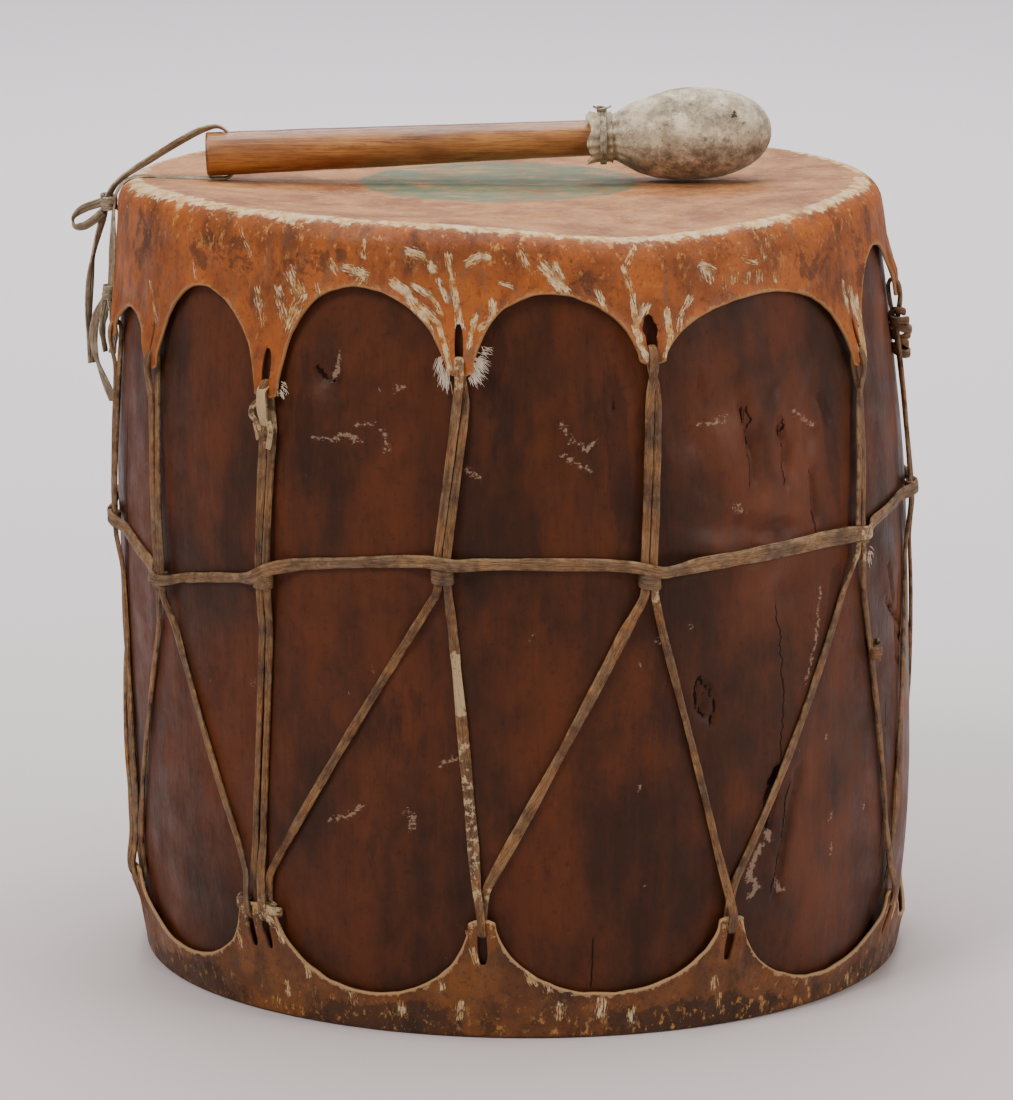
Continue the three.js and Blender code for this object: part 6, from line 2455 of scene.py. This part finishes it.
UPPER_SCUFFS = (
    Stroke(((-15.2, 397), (-13.3, 392), (-11.1, 380), (-9.5, 361), (-8.4, 349)), 5.5),
    Stroke(((-11.1, 385), (-8.9, 377), (-7.8, 363), (-7.4, 354)), 3.2),
    Stroke(((-12.3, 396), (-10.0, 391), (-8.6, 383)), 3.0, 0.85),
    Stroke(((-13.2, 413), (-10.9, 411), (-9.4, 404)), 4.0, 0.9),
    Stroke(((-7.4, 412), (-6.9, 399), (-6.3, 386), (-6.0, 376)), 3.2, 0.9),
    Stroke(((-8.8, 399), (-7.8, 389)), 2.6, 0.85),
    Stroke(((-4.5, 408), (-2.6, 412), (-1.8, 411)), 4.2, 0.9),
    Stroke(((-1.4, 388), (-1.2, 381), (-3.1, 375)), 4.2, 0.95),
    Stroke(((-3.6, 381), (-4.5, 373), (-5.0, 366)), 3.0, 0.85),
    Stroke(((-2.8, 360), (-1.4, 363)), 4.0, 0.85),
    Stroke(((-22.6, 403), (-20.9, 402), (-19.4, 400), (-20.7, 395)), 4.6, 0.85),
    Stroke(((-31.0, 397), (-29.6, 387), (-31.4, 372)), 10.0, 0.66),
    Stroke(((-33.4, 389), (-32.4, 376)), 7.0, 0.6),
    Stroke(((-37.1, 387), (-36.1, 372)), 6.0, 0.58),
    Stroke(((-27.0, 393), (-26.4, 386)), 4.0, 0.66),
    Stroke(((-19.7, 418), (-19.7, 409)), 1.8, 0.75),
    Stroke(((2.9, 413), (3.6, 407)), 3.4, 0.8),
    Stroke(((6.0, 406), (7.3, 400), (8.8, 394)), 6.4, 0.95),
    Stroke(((7.8, 407), (8.6, 401)), 3.6, 0.9),
    Stroke(((13.5, 393), (14.5, 382), (15.0, 371)), 3.4, 0.85),
    Stroke(((17.6, 404), (18.4, 392), (18.7, 378)), 3.2, 0.82),
    Stroke(((20.4, 384), (18.8, 374), (19.1, 365), (19.9, 358)), 4.8),
    Stroke(((23.4, 381), (23.3, 369), (22.6, 359)), 4.6, 0.95),
    Stroke(((27.3, 387), (25.5, 378), (24.9, 372)), 2.8, 0.82),
    Stroke(((30.0, 402), (30.5, 396)), 7.0, 0.9),
    Stroke(((32.8, 395), (32.7, 391)), 3.0, 0.8),
    Stroke(((34.9, 396), (34.8, 393)), 3.4, 0.8),
    Stroke(((37.2, 396), (37.2, 392)), 3.2, 0.85),
    Stroke(((39.6, 396), (39.6, 392)), 3.4, 0.8),
    Stroke(((42.2, 395), (42.2, 391)), 2.8, 0.75),
    Stroke(((61.4, 372), (62.0, 358), (61.4, 344)), 5.6, 1.0),
    Stroke(((58.0, 382), (58.6, 366)), 3.6, 0.9),
    Stroke(((41.5, 410), (41.0, 402)), 2.4, 0.75),
    Stroke(((47.5, 381), (50.1, 373)), 4.6, 0.85),
    Stroke(((59.8, 378), (60.9, 360), (59.4, 341)), 4.2, 0.95),
    Stroke(((53.8, 354), (56.3, 342)), 3.8, 0.9),
    Stroke(((19.7, 414), (18.3, 407)), 3.0, 0.78),
    Stroke(((29.5, 404), (31.4, 401)), 2.6, 0.66),
    Stroke(((36.7, 404), (39.2, 401)), 3.0, 0.66),
    Stroke(((-62.1, 380), (-59.9, 362)), 3.0, 0.6),
    Stroke(((-50.5, 397), (-49.5, 388)), 2.2, 0.6),
    Stroke(((-40.4, 417), (-38.4, 405)), 2.4, 0.6),
    Stroke(((-24.8, 406), (-23.9, 401)), 3.2, 0.75),
    Stroke(((-0.1, 398), (1.5, 396)), 2.6, 0.66),
    Stroke(((86, 392), (88, 372)), 4.0, 0.75),
    Stroke(((108, 394), (112, 374), (114, 358)), 4.6, 0.9),
    Stroke(((119, 390), (117, 366)), 3.6, 0.85),
    Stroke(((146, 394), (149, 368), (148, 352)), 4.6, 0.9),
    Stroke(((174, 392), (178, 374)), 4.4, 0.8),
    Stroke(((-176, 390), (-177, 366)), 4.0, 0.8),
    Stroke(((-149, 396), (-145, 374), (-146, 356)), 4.8, 0.9),
    Stroke(((-120, 390), (-116, 366)), 4.0, 0.8),
    Stroke(((-98, 398), (-96, 384)), 3.0, 0.7),
)

UPPER_STAINS = (
    Mark(-44, 404, 26, 70, 0, 0.6),
    Mark(-26, 404, 20, 50, 0, 0.55),
    Mark(12, 400, 26, 24, 0, 0.55),
    Mark(33, 384, 14, 16, 0, 0.6),
    Mark(50, 398, 24, 50, 0, 0.6),
    Mark(64, 392, 60, 18, 0, 0.55),
    Mark(-66, 404, 40, 34, 0, 0.6),
    Mark(130, 400, 30, 60, 0, 0.6),
    Mark(-160, 400, 30, 60, 0, 0.6),
    Mark(-110, 396, 30, 40, 0, 0.5),
)

LOWER_SCUFFS = (
    Stroke(((-36.8, 52), (-36.2, 43)), 4.6, 0.8),
    Stroke(((-44.6, 44), (-44.8, 34)), 3.4, 0.7),
    Stroke(((-32.1, 33), (-32.2, 26)), 3.8, 0.8),
    Stroke(((-36.3, 19), (-36.4, 13)), 3.0, 0.7),
    Stroke(((-38.4, 8), (-38.6, 4)), 3.4, 0.7),
    Stroke(((-25.2, 19), (-25.0, 14)), 3.4, 0.66),
    Stroke(((-17.7, 17), (-17.8, 11)), 3.4, 0.66),
    Stroke(((-11.7, 32), (-11.6, 27)), 3.0, 0.7),
    Stroke(((-9.0, 18), (-9.2, 12)), 5.0, 0.8),
    Stroke(((-6.6, 50), (-6.2, 43)), 4.4, 0.85),
    Stroke(((-3.2, 66), (-2.2, 55), (-0.6, 46), (0.8, 38)), 4.6, 0.95),
    Stroke(((0.6, 38), (1.4, 31)), 4.0, 0.85),
    Stroke(((3.2, 31), (3.4, 27)), 3.0, 0.75),
    Stroke(((5.1, 18), (5.0, 12)), 4.8, 0.8),
    Stroke(((11.0, 20), (10.9, 13)), 5.4, 0.85),
    Stroke(((15.4, 14), (15.6, 8)), 4.6, 0.75),
    Stroke(((27.8, 27), (27.9, 22)), 3.4, 0.75),
    Stroke(((28.9, 17), (29.0, 12)), 3.4, 0.7),
    Stroke(((24.4, 58), (25.4, 52)), 4.0, 0.8),
    Stroke(((30.8, 62), (32.4, 50), (34.8, 42)), 4.4, 0.85),
    Stroke(((45, 20), (45.2, 14)), 3.4, 0.66),
    Stroke(((56, 8), (56.2, 3)), 3.4, 0.66),
    Stroke(((68, 44), (70, 28)), 3.0, 0.75),
    Stroke(((103, 40), (104, 30)), 4.0, 0.75),
    Stroke(((139, 46), (141, 24)), 4.0, 0.7),
    Stroke(((-156, 24), (-155, 16)), 6.0, 0.7),
    Stroke(((-110, 40), (-108, 24)), 4.0, 0.7),
)

# Darker towards the bottom, all round the foot of the lower skin.
LOWER_FOOT_DARKENING = (
    Mark(-60, 4, 34, 110, 0, 1.0),
    Mark(-20, 4, 30, 120, 0, 1.0),
    Mark(25, 4, 30, 130, 0, 1.0),
    Mark(70, 4, 34, 120, 0, 1.0),
    Mark(120, 4, 34, 130, 0, 1.0),
    Mark(175, 4, 34, 130, 0, 1.0),
    Mark(-120, 4, 34, 130, 0, 1.0),
)

RIM_WEAR = (
    (-180, 0.4), (-100, 0.4), (-84, 0.9), (-40, 1.0), (-24, 0.7), (-12, 0.5), (10, 0.45), (24, 0.6),
    (40, 0.5), (60, 0.5), (90, 0.5), (180, 0.4),
)

RIM_RISE = (
    (-180, 0.0), (-135, 1.5), (-105, 1.6), (-90, 1.4), (-74, 4.0), (-62, 6.0), (-40, 5.5), (-20, 5.2),
    (-8, 4.6), (5, 1.4), (14, -2.6), (20, -4.4), (28, -3.4), (36, -1.8), (46, -0.4), (63, 2.4),
    (80, 3.2), (110, 2.0), (150, 0.0), (180, 0.0),
)

STRAP_HIDE = ThongHide(
    name="strap hide",
    tan=srgb(176, 158, 128),
    brown=srgb(140, 118, 90),
    dark=srgb(98, 78, 56),
    cream=srgb(216, 204, 180),
    wear=0.55,
)

LACE_HIDE = ThongHide(
    name="lace hide",
    tan=srgb(160, 107, 54),
    brown=srgb(94, 59, 31),
    dark=srgb(36, 23, 14),
    cream=srgb(208, 180, 134),
    wear=0.3,
)

BAND_HIDE = ThongHide(
    name="band hide",
    tan=srgb(152, 108, 62),
    brown=srgb(98, 66, 37),
    dark=srgb(48, 31, 19),
    cream=srgb(204, 176, 132),
    wear=0.34,
)

UPPER_HIDE = PaintedHide(
    name="painted upper hide",
    base=srgb(130, 66, 22),
    bright=srgb(168, 88, 26),
    dark=srgb(62, 33, 17),
    drumhead=srgb(188, 130, 80),
    drumhead_dark=srgb(142, 86, 50),
)

LOWER_HIDE = PaintedHide(
    name="painted lower hide",
    base=srgb(90, 51, 22),
    bright=srgb(122, 72, 30),
    dark=srgb(40, 24, 14),
    drumhead=srgb(100, 64, 42),
    drumhead_dark=srgb(80, 50, 32),
    grime=srgb(70, 50, 34),
    edge=srgb(184, 146, 102),
    speckle=0.1,
    flaking=0.0,
)


def main() -> None:
    """Builds the drum, the beater and the studio in order."""
    logging.basicConfig(level=logging.INFO, format="%(name)s %(message)s")
    effects = Effects()
    studio = Studio()
    studio.build_camera()
    strap_hide = STRAP_HIDE.material(effects)
    lace_hide = LACE_HIDE.material(effects)
    band_hide = BAND_HIDE.material(effects)
    WristThong(strap_hide).build()
    HollowLog(PaintedWood().material(effects)).build()
    RawhideSkin(
        name="upper_hide",
        node="upper_skin",
        end=End.UPPER,
        tabs=UPPER_TABS,
        finish=UPPER_HIDE.material(effects),
        slot=Slot.PAINTED_HIDE,
        scuffs=UPPER_SCUFFS,
        dark_patches=UPPER_STAINS,
        rim_wear=RIM_WEAR,
        rim_rise=RIM_RISE,
    ).build()
    RawhideSkin(
        name="lower_hide",
        node="lower_skin",
        end=End.LOWER,
        tabs=LOWER_TABS,
        finish=LOWER_HIDE.material(effects),
        slot=Slot.LOWER_HIDE,
        scuffs=LOWER_SCUFFS,
        dark_patches=LOWER_FOOT_DARKENING,
        corner=2 * MM,
        corner_rows=5,
        side_rows=38,
        dish=0.0,
        tip_wear=0.75,
    ).build()
    lacing = Lacing(lace_hide, band_hide)
    lacing.build_lace()
    lacing.build_band()
    FurTufts(Fur().material()).build()
    beater = Beater(HandledWood().material(effects), SoftHide().material(effects), strap_hide)
    beater.build_stick()
    beater.build_bulb()
    beater.build_binding()
    studio.build_paper(StudioPaper().material())
    studio.light()


if __name__ == "__main__":
    main()
